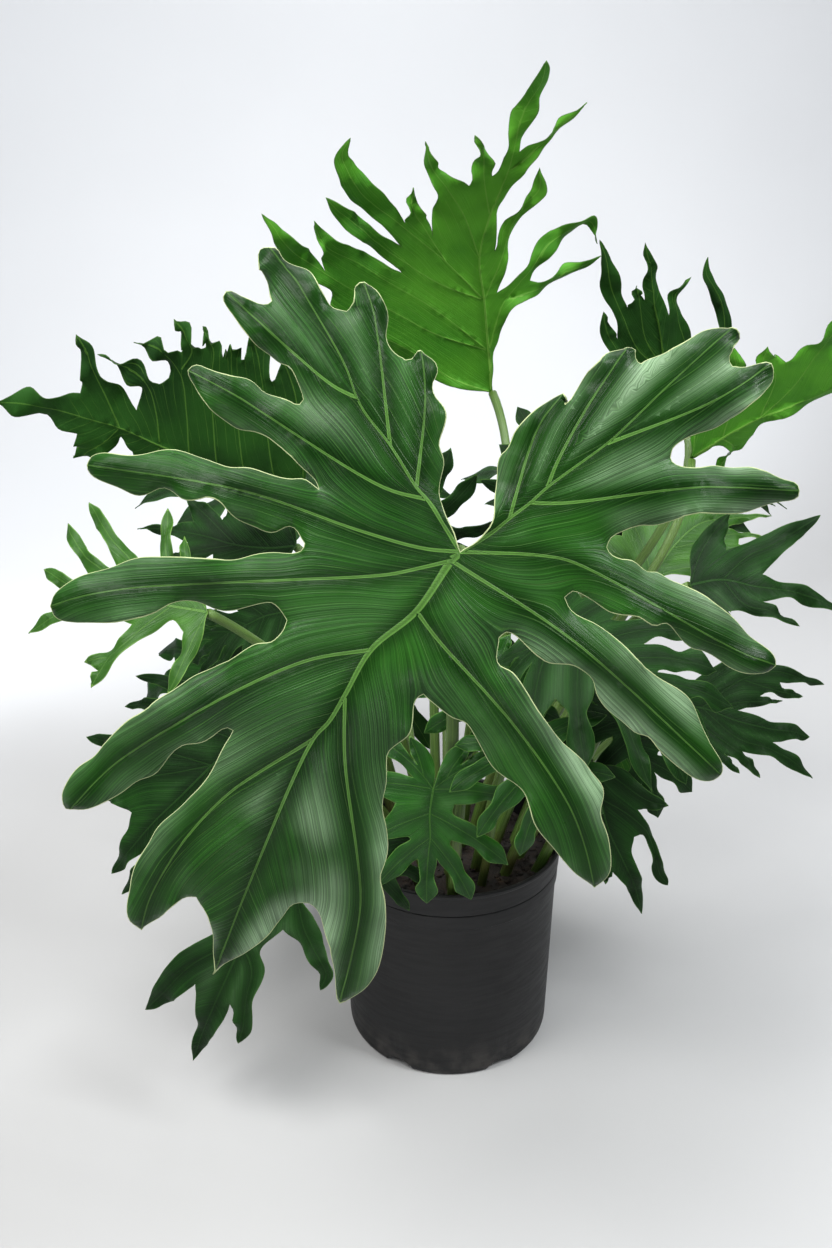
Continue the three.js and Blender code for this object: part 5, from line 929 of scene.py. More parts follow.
def relaxed(values: np.ndarray, triangles: np.ndarray, free: np.ndarray, rounds: int) -> np.ndarray:
    """Evens out values over a mesh, the values of fixed points kept.

    Args:
        values: one value a point.
        triangles: the mesh.
        free: True where a value may change.
        rounds: how many times.

    Returns:
        The new values.
    """
    ends = edges_of(triangles)
    ends = np.concatenate([ends, ends[:, ::-1]])
    count = np.maximum(np.bincount(ends[:, 0], minlength=len(values)), 1)
    for _ in range(rounds):
        sums = np.bincount(ends[:, 0], weights=values[ends[:, 1]], minlength=len(values))
        values = np.where(free, sums / count, values)
    return values


@dataclass(frozen=True)
class Grain:
    """How fine a blade's mesh is, in millimetres."""

    edge: float
    rib: float
    face: float


@dataclass
class Blade:
    """A cut leaf blade as one closed shell with raised ribs underneath and a quilted upper face.

    Its leaf, the plan of its outline and ribs, the grain of its mesh, and the height and spacing of the
    puffs between its side veins are given. Sizes are in millimetres.
    """

    leaf: Leaf
    plan: LeafPlan
    grain: Grain
    quilt: Pair

    # Ribs: their half-width at the root and at the tip, the ridge below and the groove above
    rib_width: float = 2.9
    side_rib_width: float = 1.4
    rib_tip_width: float = 0.35
    rib_taper: float = 0.6
    side_ridge_depth: float = 1.4 * SIDE_RIB_DEPTH
    ridge_least: float = 0.25
    ridge_round: float = 0.7
    groove_depth: float = 0.35

    # Mesh: how near a loose point may come to a line of the plan, and how far the grid is shaken
    rib_clear: float = 0.55
    edge_clear: float = 0.45
    cell: float = 0.42
    row_step: float = 0.87
    shake: float = 0.16
    shoulder_width: float = 0.6
    shoulder_start: float = 2.0
    weld: float = 1e-5
    sliver: float = 1e-6

    # Veins: how they lean from their rib, how far a rib's pull goes, and when their field is exact enough
    midrib_lean: float = math.radians(50)
    side_lean: float = math.radians(13)
    pull_reach: float = 2.0
    solve_rounds: int = 300
    solve_enough: float = 1e-4

    # Panels: how high they swell for their width, and how often a height is evened out
    crown_share: float = 0.13
    crown_most: float = 6.5
    crown_edge: float = 1.15
    crown_round: float = 0.8
    crown_rounds: int = 32
    wave_round: float = 1.5
    wave_rounds: int = 12

    # Ruffles along the margin, puffs between the side veins and slow swells, in millimetres
    ruffle_length: float = 31.0
    ruffle_reach: float = 8.0
    ruffle_drift: float = 61.0
    puff_rib_room: float = 8.0
    puff_edge_room: float = 6.0
    puff_level: float = 0.6
    swell_room: float = 16.0
    edge_reach: float = 0.3

    def __post_init__(self) -> None:
        """Makes ribs, panels, ruffles and swells lower on the other leaves than on the front one."""
        front, share = self.leaf.tone is Tone.FRONT, self.leaf.rib_share
        self.scale = 1.0 if front else 0.1 + 0.42 * share
        self.crown = 1.0 if front else 0.6 * share
        self.ruffle = 1.1 if front else 0.9 * share
        self.swell = 2.0 if front else 1.2 * share

    def rib_half_width(self, run: np.ndarray, whole: float, midrib: bool) -> np.ndarray:
        """How wide a rib is on each side of its middle, at distances along it."""
        root = (self.rib_width if midrib else self.side_rib_width) * self.scale
        return mix(root, self.rib_tip_width, np.clip(run / whole, 0, 1) ** self.rib_taper)

    def lay_out(self) -> None:
        """Fills the plan with points and triangles."""
        self.loop, self.loop_wave = self.plan.outline(self.grain.edge)
        self.ribs = self.plan.ribs(self.grain.rib)
        lines = [line[1:-1] for line, _, _ in self.ribs]
        count = len(self.loop)
        edges = [(i, (i + 1) % count) for i in range(count)]
        for line in lines:
            edges += [(count + i, count + i + 1) for i in range(len(line) - 1)]
            count += len(line)
        shoulders = [self.rib_shoulders(line, midrib) for line, _, midrib in self.ribs]
        loose = np.concatenate([*shoulders, self.face_grid()])
        loose = loose[inside(loose, self.loop)]
        loose = loose[self.far_from(loose, lines)]
        self.triangulate(np.concatenate([self.loop, *lines, loose]), edges)

    def triangulate(self, spots: np.ndarray, edges: list[tuple[int, int]]) -> None:
        """Joins the plan's points into triangles that all turn one way.

        Args:
            spots: the points, those of the blade's edge first.
            edges: pairs of points that triangles don't cross.
        """
        face = [list(range(len(self.loop)))[::-1]]
        verts = [Vector(spot) for spot in spots.tolist()]
        result = delaunay_2d_cdt(verts, edges, face, 1, self.weld, True)
        flat = np.array([v[:] for v in result[0]])
        triangles = np.array([f for f in result[2] if len(f) == 3])
        a, b, c = (flat[triangles[:, k]] for k in range(3))
        area = (b[:, 0] - a[:, 0]) * (c[:, 1] - a[:, 1]) - (b[:, 1] - a[:, 1]) * (c[:, 0] - a[:, 0])
        triangles[area < 0] = triangles[area < 0][:, ::-1]
        centres = flat[triangles].mean(axis=1)
        triangles = triangles[(np.abs(area) > self.sliver) & inside(centres, self.loop)]
        used, places = np.unique(triangles, return_inverse=True)
        self.flat, self.triangles = flat[used], places.reshape(triangles.shape)

    def rib_shoulders(self, line: np.ndarray, midrib: bool) -> np.ndarray:
        """Points beside a rib that carry the sides of its ridge.

        Args:
            line: the rib.
            midrib: whether it is the midrib.

        Returns:
            The points.
        """
        slope = unit(np.gradient(line, axis=0))
        normal = np.column_stack([-slope[:, 1], slope[:, 0]])
        runs = lengths_along(line)
        half = self.rib_half_width(runs, runs[-1], midrib)[:, None]
        keep = (half[:, 0] > self.shoulder_width) & (runs > self.shoulder_start)
        shoulder = [line + normal * half * side for side in (-1, 1)]
        return np.concatenate([row[keep] for row in shoulder])

    def face_grid(self) -> np.ndarray:
        """A slightly uneven grid of points over the whole blade.

        Returns:
            The points.
        """
        step = self.grain.face
        low, high = self.loop.min(axis=0), self.loop.max(axis=0)
        xs = np.arange(low[0], high[0], step)
        ys = np.arange(low[1], high[1], step * self.row_step)
        grid = np.array([(x + (0.5 * step if row % 2 else 0), y) for row, y in enumerate(ys) for x in xs])
        scatter = np.random.default_rng(self.leaf.seed + 5)
        return grid + scatter.uniform(-self.shake, self.shake, grid.shape) * step

    def far_from(self, points: np.ndarray, lines: list[np.ndarray]) -> np.ndarray:
        """Finds the points that aren't too close to the edge, a rib or each other.

        Args:
            points: the points.
            lines: the ribs.

        Returns:
            True for each of them.
        """
        closed = np.concatenate([self.loop, self.loop[:1]])
        keep = nearest_on(points, closed)[0] > self.grain.edge * self.edge_clear
        for line in lines:
            if len(line) > 1:
                keep &= nearest_on(points, line)[0] > self.rib_clear
        cell = np.round(points / (self.grain.face * self.cell)).astype(int)
        _, first = np.unique(cell, axis=0, return_index=True)
        single = np.zeros(len(points), bool)
        single[first] = True
        return keep & single

    def measure(self) -> None:
        """Works out, for each point, its distance to the margin and to every rib."""
        closed = np.concatenate([self.loop, self.loop[:1]])
        self.edge, which, share = nearest_on(self.flat, closed)
        waves = np.append(self.loop_wave, self.loop_wave[0])
        margin_wave = mix(waves[which], waves[which + 1], share)
        around = lengths_along(closed)
        self.around = mix(around[which], around[which + 1], share)
        far, halves = [], []
        for line, _, midrib in self.ribs:
            gap, part, share = nearest_on(self.flat, line)
            own = lengths_along(line)
            far.append(gap)
            halves.append(self.rib_half_width(mix(own[part], own[part + 1], share), own[-1], midrib))
        self.far, self.halves = np.stack(far, axis=1), np.stack(halves, axis=1)
        self.flow = self.across_veins()
        best = self.far.argmin(axis=1)
        rows = np.arange(len(self.flat))
        self.off = self.far[rows, best]
        self.half = self.halves[rows, best]
        self.is_midrib = np.array([rib[2] for rib in self.ribs])[best]
        self.across = self.off / np.maximum(self.off + self.edge, self.sliver)
        self.free = (self.edge > ON_LINE) & (self.off > ON_LINE)
        wave = self.across**self.wave_round * margin_wave
        self.wave = relaxed(wave, self.triangles, self.free, self.wave_rounds)

    def vein_slopes(self, places: np.ndarray) -> np.ndarray:
        """The direction across the veins: they leave each rib at its lean and run outward side by side.

        Args:
            places: flat points.

        Returns:
            A unit vector for each, toward the leaf's tip.
        """
        pull = np.zeros_like(places)
        for line, _, midrib in self.ribs:
            gap, part, share = nearest_on(places, line)
            slope = unit(np.diff(line, axis=0)[part])
            out = places - mix(line[part], line[part + 1], share[:, None])
            side = np.sign(slope[:, 0] * out[:, 1] - slope[:, 1] * out[:, 0])
            if midrib:
                hand = -side
            lean = side * (self.midrib_lean if midrib else self.side_lean)
            cos, sin = np.cos(lean), np.sin(lean)
            turned = np.column_stack([slope[:, 0] * cos - slope[:, 1] * sin, slope[:, 0] * sin + slope[:, 1] * cos])
            pull += turned / (gap[:, None] + self.pull_reach) ** 2
        pull = unit(pull)
        return np.column_stack([-pull[:, 1], pull[:, 0]]) * hand[:, None]

    def across_veins(self) -> np.ndarray:
        """Numbers the points across the veins, in millimetres, so that a line of one value runs along them.

        Returns:
            A value for each point.
        """
        tri, count = self.triangles, len(self.flat)
        corner = [self.flat[tri[:, k]] for k in range(3)]
        edges = [corner[2] - corner[1], corner[0] - corner[2], corner[1] - corner[0]]
        area = np.maximum(edges[0][:, 0] * edges[1][:, 1] - edges[0][:, 1] * edges[1][:, 0], self.sliver)
        slopes = [np.column_stack([-e[:, 1], e[:, 0]]) / area[:, None] for e in edges]
        aim = self.vein_slopes(sum(corner) / 3)

        def gather(fall: np.ndarray) -> np.ndarray:
            """Adds up at each point what the triangles round it give it."""
            return sum(np.bincount(tri[:, k], (fall * slopes[k]).sum(axis=1) * area, count) for k in range(3))

        def stiff(values: np.ndarray) -> np.ndarray:
            """How strongly each point is pulled by its neighbours."""
            return gather(sum(values[tri[:, k], None] * slopes[k] for k in range(3))) + self.sliver * values

        own = [np.bincount(tri[:, k], (slopes[k] ** 2).sum(axis=1) * area, count) for k in range(3)]
        ease = 1 / np.maximum(sum(own), TINY)
        values = self.flat[:, 1].copy()
        rest = gather(aim) - stiff(values)
        step = ease * rest
        power = rest @ step
        for _ in range(self.solve_rounds):
            push = stiff(step)
            size = power / (step @ push)
            values += size * step
            rest -= size * push
            fresh = ease * rest
            after = rest @ fresh
            if after < self.solve_enough:
                break
            step, power = fresh + step * after / power, after
        return values

    def pillow(self) -> np.ndarray:
        """How far each panel between two ribs, or a rib and the margin, swells up.

        Returns:
            A height for each point.
        """
        near = np.sort(self.far, axis=1)
        second = near[:, 1] if near.shape[1] > 1 else self.edge
        width = self.off + np.minimum(second, self.edge * self.crown_edge)
        height = np.minimum(self.crown_share * width, self.crown_most) * self.crown
        share = np.clip(self.off / np.maximum(width, self.sliver), 0, 1)
        swell = height * np.sin(np.pi * share) ** self.crown_round
        return relaxed(swell, self.triangles, self.free, self.crown_rounds)

    def puffs(self) -> np.ndarray:
        """How far the blade stands off its middle sheet: puffs between veins, panels, ruffles and swells.

        Returns:
            A height for each point.
        """
        height, spacing = self.quilt
        room = np.clip((self.off - self.half) / self.puff_rib_room, 0, 1)
        room *= np.clip(self.edge / self.puff_edge_room, 0, 1)
        puff = height * room * (np.abs(np.sin(np.pi * (self.flow / spacing))) - self.puff_level)
        puff += self.pillow()
        drift = 1.7 * np.sin(self.around / self.ruffle_drift)
        swing = np.sin(2 * np.pi * self.around / self.ruffle_length + drift)
        puff += self.ruffle * swing * np.exp(-self.edge / self.ruffle_reach)
        x, y = self.flat[:, 0], self.flat[:, 1]
        swell = np.sin(x / 17 + 1.3 * np.sin(y / 31)) * np.sin(y / 21 + 0.7)
        puff += self.swell * swell * np.clip(self.off / self.swell_room, 0, 1)
        return relaxed(puff, self.triangles, self.edge > ON_LINE, 1)

    def rib_relief(self) -> tuple[np.ndarray, np.ndarray]:
        """The ribs' groove in the upper face and their ridge under the lower one.

        Returns:
            How deep the groove and the ridge are at each point.
        """
        near = np.clip(1 - self.off / np.maximum(self.half, 0.3), 0, 1)
        depth = np.where(self.is_midrib, MIDRIB_DEPTH, self.side_ridge_depth) * self.leaf.rib_share
        depth = depth * np.clip(self.half / (self.rib_width * self.scale), self.ridge_least, 1)
        return self.groove_depth * self.scale * near, depth * near**self.ridge_round

    def bend(self) -> None:
        """Bends the flat sheet and gives it its thickness, its ribs and its puffs."""
        if self.leaf.tone is Tone.FRONT:
            middle = front_bend(self.flat, self.wave, self.across)
        else:
            middle = plain_bend(self.leaf, self.flat, self.wave)
        middle = middle @ blade_turn(self.leaf).T + np.array(self.leaf.joint)
        puff = self.puffs()
        groove, ridge = self.rib_relief()
        normal = np.zeros_like(middle)
        a, b, c = (middle[self.triangles[:, k]] for k in range(3))
        cross = np.cross(b - a, c - a)
        for k in range(3):
            np.add.at(normal, self.triangles[:, k], cross)
        self.normal = unit(normal)
        upper = middle + self.normal * (HALF_THICKNESS + puff - groove)[:, None]
        lower = middle - self.normal * (HALF_THICKNESS - puff + ridge)[:, None]
        self.points = np.concatenate([upper, lower])

    def shell(self) -> tuple[np.ndarray, np.ndarray]:
        """Joins the two faces round the margin with a rounded edge.

        Returns:
            The points in millimetres and the triangles.
        """
        count = len(self.flat)
        tri = self.triangles
        ends = {(a, b) for a, b in edges_of(tri).tolist()}
        rim = sorted((a, b) for a, b in ends if (b, a) not in ends)
        number: dict[int, int] = {}
        outward = np.zeros((count, 3))
        for a, b in rim:
            for point in (a, b):
                number.setdefault(point, len(number))
            push = unit(np.cross(self.points[b] - self.points[a], self.normal[a]))
            outward[a] += push
            outward[b] += push
        keys = np.array(list(number))
        middle = (self.points[keys] + self.points[keys + count]) / 2 + unit(outward[keys]) * self.edge_reach
        points = np.concatenate([self.points, middle])
        walls = []
        for a, b in rim:
            m, n = 2 * count + number[a], 2 * count + number[b]
            walls += [(a, m, n), (a, n, b), (m, a + count, b + count), (m, b + count, n)]
        triangles = np.concatenate([tri, tri[:, ::-1] + count, np.array(walls)])
        self.rim_points = keys
        return points, triangles

    def build(self) -> bpy.types.Object:
        """Makes the blade's mesh with the measures that its finish reads.

        Returns:
            The new object.
        """
        self.lay_out()
        self.measure()
        self.bend()
        points, triangles = self.shell()
        piece = mesh_piece(f"{self.leaf.name}_leaf", points * MM, triangles.tolist())
        self.write_measures(piece.data, triangles)
        return piece

    def write_measures(self, mesh: bpy.types.Mesh, triangles: np.ndarray) -> None:
        """Stores where each corner is on the blade: across the veins, off its rib, rib width, edge and side.

        Args:
            mesh: the blade's mesh.
            triangles: its triangles.
        """
        count = len(self.flat)
        source = np.concatenate([np.arange(count), np.arange(count), self.rim_points])
        side = np.concatenate([np.zeros(count), np.ones(count), np.full(len(self.rim_points), 0.5)])
        flat = source[triangles]
        rib = self.far[flat].mean(axis=1).argmin(axis=1)[:, None]
        flow, off, half = self.flow[flat], self.far[flat, rib], self.halves[flat, rib]
        layer = mesh.uv_layers.new(name="veins")
        layer.data.foreach_set("uv", np.stack([flow, off], axis=2).astype(np.float32).ravel())
        where = mesh.attributes.new("blade", "FLOAT_VECTOR", "CORNER")
        packed = np.stack([half, self.edge[flat], side[triangles]], axis=2)
        where.data.foreach_set("vector", packed.astype(np.float32).ravel())


def mesh_piece(name: str, points: np.ndarray, faces: Sequence[Sequence[int]]) -> bpy.types.Object:
    """Makes an object from points and faces.

    Args:
        name: the object's name.
        points: its points in metres.
        faces: its faces.

    Returns:
        The object, shaded smooth, in the scene.
    """
    mesh = bpy.data.meshes.new(name)
    mesh.from_pydata(points.tolist(), [], faces)
    mesh.polygons.foreach_set("use_smooth", [True] * len(mesh.polygons))
    mesh.update()
    piece = bpy.data.objects.new(name, mesh)
    bpy.context.collection.objects.link(piece)
    return piece


def loft_faces(rings: int, sides: int, flip: bool = False) -> list[tuple[int, ...]]:
    """The faces that join rings of points, with a point before the first ring and one after the last.

    Args:
        rings: how many rings there are.
        sides: how many points each has.
        flip: whether the faces turn the other way.

    Returns:
        The faces.
    """
    last = 1 + rings * sides
    faces: list[tuple[int, ...]] = []
    for k in range(sides):
        after = (k + 1) % sides
        faces.append((0, 1 + after, 1 + k))
        faces += [(a + k, a + after, a + after + sides, a + k + sides) for a in range(1, last - sides, sides)]
        faces.append((last, last - sides + k, last - sides + after))
    return [(face[0], *face[:0:-1]) for face in faces] if flip else faces


@dataclass
class Stem:
    """A leaf stalk from the soil to the underside of its blade's joint."""

    leaf: Leaf
    sides: int = 16
    rings: int = 44
    # Shares of the radius: the swollen knee under the blade, the slimmer middle and the channel in front
    knee: float = 0.06
    knee_swell: float = 0.10
    waist: float = 0.04
    channel: float = 0.13
    channel_width: float = 0.45

    def line(self) -> tuple[np.ndarray, np.ndarray]:
        """The stalk's middle line.

        Returns:
            Its points, and the direction along it at each.
        """
        leaf = self.leaf
        turn = blade_turn(leaf)
        along, face = turn[:, 1], turn[:, 2]
        end = np.array(leaf.joint) - face * (HALF_THICKNESS + MIDRIB_DEPTH * leaf.rib_share * STEM_IN_RIB)
        arrive = unit(face * STEM_ARRIVAL + along * leaf.carry)
        radius, count = FOOT_RINGS[leaf.foot[0]]
        angle = 2 * math.pi * leaf.foot[1] / count - math.pi / 2
        x, y = radius * math.cos(angle), radius * math.sin(angle)
        foot = np.array([x, y, SOIL_LEVEL - STEM_SINK])
        size = np.linalg.norm(end - foot)
        leave = unit(np.array([x * STEM_LEAN, y * STEM_LEAN, 1.0]))
        p = [foot, foot + leave * size * STEM_RISE, end - arrive * size * leaf.swoop, end]
        t = np.linspace(0, 1, 200)[:, None]
        fine = p[0] * (1 - t) ** 3 + 3 * p[1] * (1 - t) ** 2 * t + 3 * p[2] * (1 - t) * t**2 + p[3] * t**3
        line, _ = resampled(fine, lengths_along(fine)[-1] / self.rings)
        return line, unit(np.gradient(line, axis=0))

    def build(self) -> bpy.types.Object:
        """Sweeps the stalk's section along its line.

        Returns:
            The new object.
        """
        line, slope = self.line()
        side = np.cross(slope[0], [0.3, 1, 0.2])
        shares = np.linspace(0, 1, len(line))
        radius = mix(STEM_BASE_RADIUS, STEM_TIP_RADIUS, shares) * self.leaf.stem
        knee = self.knee_swell * np.exp(-(((shares - 1) / self.knee) ** 2))
        radius *= 1 + knee - self.waist * np.sin(np.pi * shares)
        angles = np.arange(self.sides) * 2 * np.pi / self.sides
        channel = 1 - self.channel * np.exp(-(((angles - np.pi / 2) / self.channel_width) ** 2))
        points = []
        for centre, along, size in zip(line, slope, radius):
            side = unit(side - along * np.dot(side, along))
            other = np.cross(along, side)
            ring = np.outer(np.cos(angles) * channel, side) + np.outer(np.sin(angles) * channel, other)
            points.append(centre + ring * size)
        points = np.concatenate([line[:1], *points, line[-1:]])
        piece = mesh_piece(f"{self.leaf.name}_stalk", points * MM, loft_faces(len(line), self.sides))
        self.write_turns(piece.data, lengths_along(line))
        return piece

    def write_turns(self, mesh: bpy.types.Mesh, runs: np.ndarray) -> None:
        """Stores where each corner is on the stalk: the share of a turn, and decimetres from the foot.

        Args:
            mesh: the stalk's mesh.
            runs: how far each ring is from the foot, in millimetres.
        """
        layer = mesh.uv_layers.new(name="stalk")
        sides, rings = self.sides, len(runs)
        for face in mesh.polygons:
            wraps = {(v - 1) % sides for v in face.vertices} >= {0, sides - 1}
            for loop in face.loop_indices:
                vertex = mesh.loops[loop].vertex_index
                ring, k = divmod(vertex - 1, sides)
                ring = min(max(ring, 0), rings - 1)
                turn = (k + (sides if wraps and k == 0 else 0)) / sides
                layer.data[loop].uv = (turn, runs[ring] / 100)


def deselect_all() -> None:
    """Leaves nothing selected, so that an operator acts on new pieces alone."""
    for item in bpy.context.view_layer.objects:
        item.select_set(False)
    bpy.context.view_layer.objects.active = None


def only(piece: bpy.types.Object) -> None:
    """Selects one object alone and makes it active."""
    deselect_all()
    piece.select_set(True)
    bpy.context.view_layer.objects.active = piece


def settle(piece: bpy.types.Object) -> None:
    """Puts an object's place and turn into its mesh."""
    only(piece)
    bpy.ops.object.transform_apply(location=True, rotation=True, scale=True)


def wall_radius(height: float) -> float:
    """The radius of the pot's plain wall at a height."""
    return mix(POT_BASE_RADIUS, POT_RIM_RADIUS - LIP_REACH - RIM_BAND_REACH, height / POT_HEIGHT)


@dataclass
class Pot:
    """The round nursery pot: a thin wall with a rim band, a fold band under it and drain notches."""

    # Each ring of a profile as its radius and height from the corner that it rounds, in millimetres
    base_corner: tuple[Pair, ...] = ((-2.24, 0.96), (-0.8, 2.88), (-0.1, 5.6))
    lip_corner: tuple[Pair, ...] = ((0, -1.2), (-0.8, -0.2), (-1.6, 0))
    inner_corner: tuple[Pair, ...] = ((0.3, -0.6), (-0.2, -2))
    edge: float = 0.35
    bevel_angle: float = math.radians(40)
    smooth_angle: float = math.radians(32)

    sides: int = 168
    rounding: float = 8.0
    drains: int = 6
    drain_width: float = 30.0
    drain_height: float = 10.0
    drain_depth: float = 14.0

    def stations(self) -> list[Pair]:
        """Radius and height of each ring, up the outside and down the inside.

        Returns:
            The rings in order.
        """

        def corner(radius: float, height: float, steps: Sequence[Pair]) -> list[Pair]:
            """The rings that round a corner."""
            return [(radius + out, height + up) for out, up in steps]

        def wall(*heights: float, off: float = 0.0) -> list[Pair]:
            """Rings on the plain wall, or a distance off it."""
            return [(wall_radius(height) + off, height) for height in heights]

        band_foot = POT_HEIGHT - RIM_BAND_HEIGHT
        fold_foot = band_foot - FOLD_BAND_HEIGHT
        lip_foot = POT_HEIGHT - LIP_HEIGHT
        band = POT_RIM_RADIUS - LIP_REACH
        return [
            *corner(POT_BASE_RADIUS, 0, self.base_corner),
            *wall(self.rounding * 1.2, 60, 120, fold_foot),
            (wall_radius(fold_foot) + FOLD_BAND_REACH, fold_foot + FOLD_BAND_REACH),
            (wall_radius(band_foot) + FOLD_BAND_REACH, band_foot - 1),
            *corner(wall_radius(band_foot), band_foot, ((0.3, -0.3),)),
            *corner(band, band_foot, ((-0.5, 0.8), (-0.1, LIP_REACH))),
            (band, lip_foot),
            *corner(POT_RIM_RADIUS, lip_foot, ((-0.5, LIP_REACH * 0.7), (0, LIP_REACH * 1.3))),
            *corner(POT_RIM_RADIUS, POT_HEIGHT, self.lip_corner),
            *corner(band - POT_WALL, POT_HEIGHT, self.inner_corner),
            (band - POT_WALL - 0.4, band_foot),
            *wall(fold_foot, 80, self.rounding, off=-POT_WALL),
            (POT_BASE_RADIUS - self.rounding * 0.8, POT_FLOOR),
        ]

    def build(self) -> bpy.types.Object:
        """Draws the wall up from a disc and back down inside, then cuts the drain notches.

        Returns:
            The pot.
        """
        deselect_all()
        radius = POT_BASE_RADIUS - self.rounding * 0.6
        bpy.ops.mesh.primitive_circle_add(vertices=self.sides, radius=radius * MM, fill_type="NGON")
        pot = bpy.context.object
        pot.name = pot.data.name = "nursery_pot"
        bpy.ops.object.mode_set(mode="EDIT")
        bpy.ops.mesh.select_all(action="SELECT")
        level = 0.0
        for wide, high in self.stations():
            move = {"value": (0, 0, (high - level) * MM)}
            bpy.ops.mesh.extrude_region_move(TRANSFORM_OT_translate=move)
            grow = wide / radius
            bpy.ops.transform.resize(value=(grow, grow, 1), center_override=(0, 0, high * MM))
            radius, level = wide, high
        bpy.ops.mesh.select_all(action="SELECT")
        bpy.ops.mesh.normals_make_consistent(inside=False)
        bpy.ops.object.mode_set(mode="OBJECT")
        for index in range(self.drains):
            self.cut_drain(pot, (index + 0.5) * 2 * math.pi / self.drains)
        self.soften(pot)
        return pot

    def cut_drain(self, pot: bpy.types.Object, turn: float) -> None:
        """Cuts one arched notch through the bottom edge.

        Args:
            pot: the pot.
            turn: where it is, from the viewer's side, in radians.
        """
        deep = self.drain_depth + self.rounding
        far = POT_BASE_RADIUS - self.drain_depth + deep / 2
        spot = (far * math.sin(turn) * MM, -far * math.cos(turn) * MM, -1 * MM)
        bpy.ops.mesh.primitive_cylinder_add(
            vertices=40, radius=1, depth=deep * MM, location=spot, rotation=(math.pi / 2, 0, turn)
        )
        cutter = bpy.context.object
        cutter.scale = (self.drain_width / 2 * MM, (self.drain_height + 1) * MM, 1)
        settle(cutter)
        cut = pot.modifiers.new("drain", "BOOLEAN")
        cut.operation, cut.object, cut.solver = "DIFFERENCE", cutter, "EXACT"
        only(pot)
        bpy.ops.object.modifier_apply(modifier=cut.name)
        bpy.data.objects.remove(cutter, do_unlink=True)

    def soften(self, pot: bpy.types.Object) -> None:
        """Rounds the cut edges a little and shades the wall smooth.

        Args:
            pot: the pot.
        """
        bevel = pot.modifiers.new("edges", "BEVEL")
        bevel.width, bevel.segments = self.edge * MM, 2
        bevel.limit_method, bevel.angle_limit = "ANGLE", self.bevel_angle
        only(pot)
        bpy.ops.object.modifier_apply(modifier=bevel.name)
        bpy.ops.object.shade_smooth_by_angle(angle=self.smooth_angle)


@dataclass
class Soil:
    """Potting soil: a rough low mound with bark crumbs lying on it."""

    # Crumbs by their size in millimetres and the share of each size, and how they stretch
    crumb_sizes: tuple[float, ...] = (1.3, 1.9, 2.8, 4.2)
    crumb_shares: tuple[float, ...] = (0.4, 0.33, 0.2, 0.07)
    crumb_least: Triple = (0.7, 0.5, 0.35)
    crumb_most: Triple = (1.5, 1.0, 0.7)
    crumb_sink: float = 0.6
    rim_clear: float = 6.0
    wall_gap: float = 0.5
    foot_gap: float = 9.0
    floor_gap: float = 0.8
    roughness: float = 0.8
    sink: float = 1.4

    sides: int = 96
    rings: int = 34
    crumbs: int = 700
    seed: int = 12

    @property
    def radius(self) -> float:
        """The soil's radius where it meets the wall."""
        return wall_radius(SOIL_LEVEL) - POT_WALL - self.wall_gap

    def level(self, reach: np.ndarray) -> np.ndarray:
        """The soil's height at a distance from the middle."""
        return SOIL_LEVEL - SOIL_CROWN * np.clip(reach / self.radius, 0, 1) ** 2.5

    def build(self) -> bpy.types.Object:
        """Makes the mound.

        Returns:
            The soil.
        """
        scatter = np.random.default_rng(self.seed)
        reach = np.linspace(0, self.radius, self.rings + 1)[1:]
        turn = np.arange(self.sides) * 2 * np.pi / self.sides
        top = np.array([[r * math.cos(a), r * math.sin(a), 0] for r in reach for a in turn])
        far = np.hypot(top[:, 0], top[:, 1])
        waves = np.sin(top[:, 0] * 0.16 + 1) * np.sin(top[:, 1] * 0.13)
        waves += 0.6 * np.sin(top[:, 0] * 0.41 + top[:, 1] * 0.33)
        rough = scatter.uniform(-self.roughness, self.roughness, len(top))
        top[:, 2] = self.level(far) + waves - self.sink + rough
        low = POT_FLOOR + self.floor_gap
        foot = top[-self.sides :].copy()
        foot[:, :2] *= (POT_BASE_RADIUS - self.foot_gap) / self.radius
        foot[:, 2] = low
        points = np.concatenate([[[0, 0, SOIL_LEVEL - 1]], top, foot, [[0, 0, low]]])
        return mesh_piece("soil_mound", points * MM, loft_faces(self.rings + 1, self.sides, flip=True))

    def build_crumbs(self) -> bpy.types.Object:
        """Scatters small rough crumbs over the mound, as one mesh.

        Returns:
            The crumbs.
        """
        deselect_all()
        bpy.ops.mesh.primitive_ico_sphere_add(subdivisions=1, radius=1)
        seed_crumb = bpy.context.object
        shape = np.array([v.co[:] for v in seed_crumb.data.vertices])
        faces = np.array([f.vertices[:] for f in seed_crumb.data.polygons])
        bpy.data.objects.remove(seed_crumb, do_unlink=True)
        scatter = np.random.default_rng(self.seed + 1)
        points, triangles = [], []
        for index in range(self.crumbs):
            reach = (self.radius - self.rim_clear) * math.sqrt(scatter.uniform())
            angle = scatter.uniform(0, 2 * math.pi)
            size = scatter.choice(self.crumb_sizes, p=self.crumb_shares)
            stretch = size * scatter.uniform(self.crumb_least, self.crumb_most)
            turn = Matrix.Rotation(scatter.uniform(0, 6.28), 3, "Z")
            turn = turn @ Matrix.Rotation(scatter.uniform(-0.5, 0.5), 3, "X")
            rough = shape * scatter.uniform(0.72, 1.15, (len(shape), 1)) * stretch
            high = float(self.level(np.array(reach))) - self.crumb_sink
            place = [reach * math.cos(angle), reach * math.sin(angle), high]
            points.append(rough @ np.array(turn).T + place)
            triangles.append(faces + index * len(shape))
        piece = mesh_piece("soil_crumbs", np.concatenate(points) * MM, np.concatenate(triangles).tolist())
        piece.data.polygons.foreach_set("use_smooth", [False] * len(piece.data.polygons))
        return piece


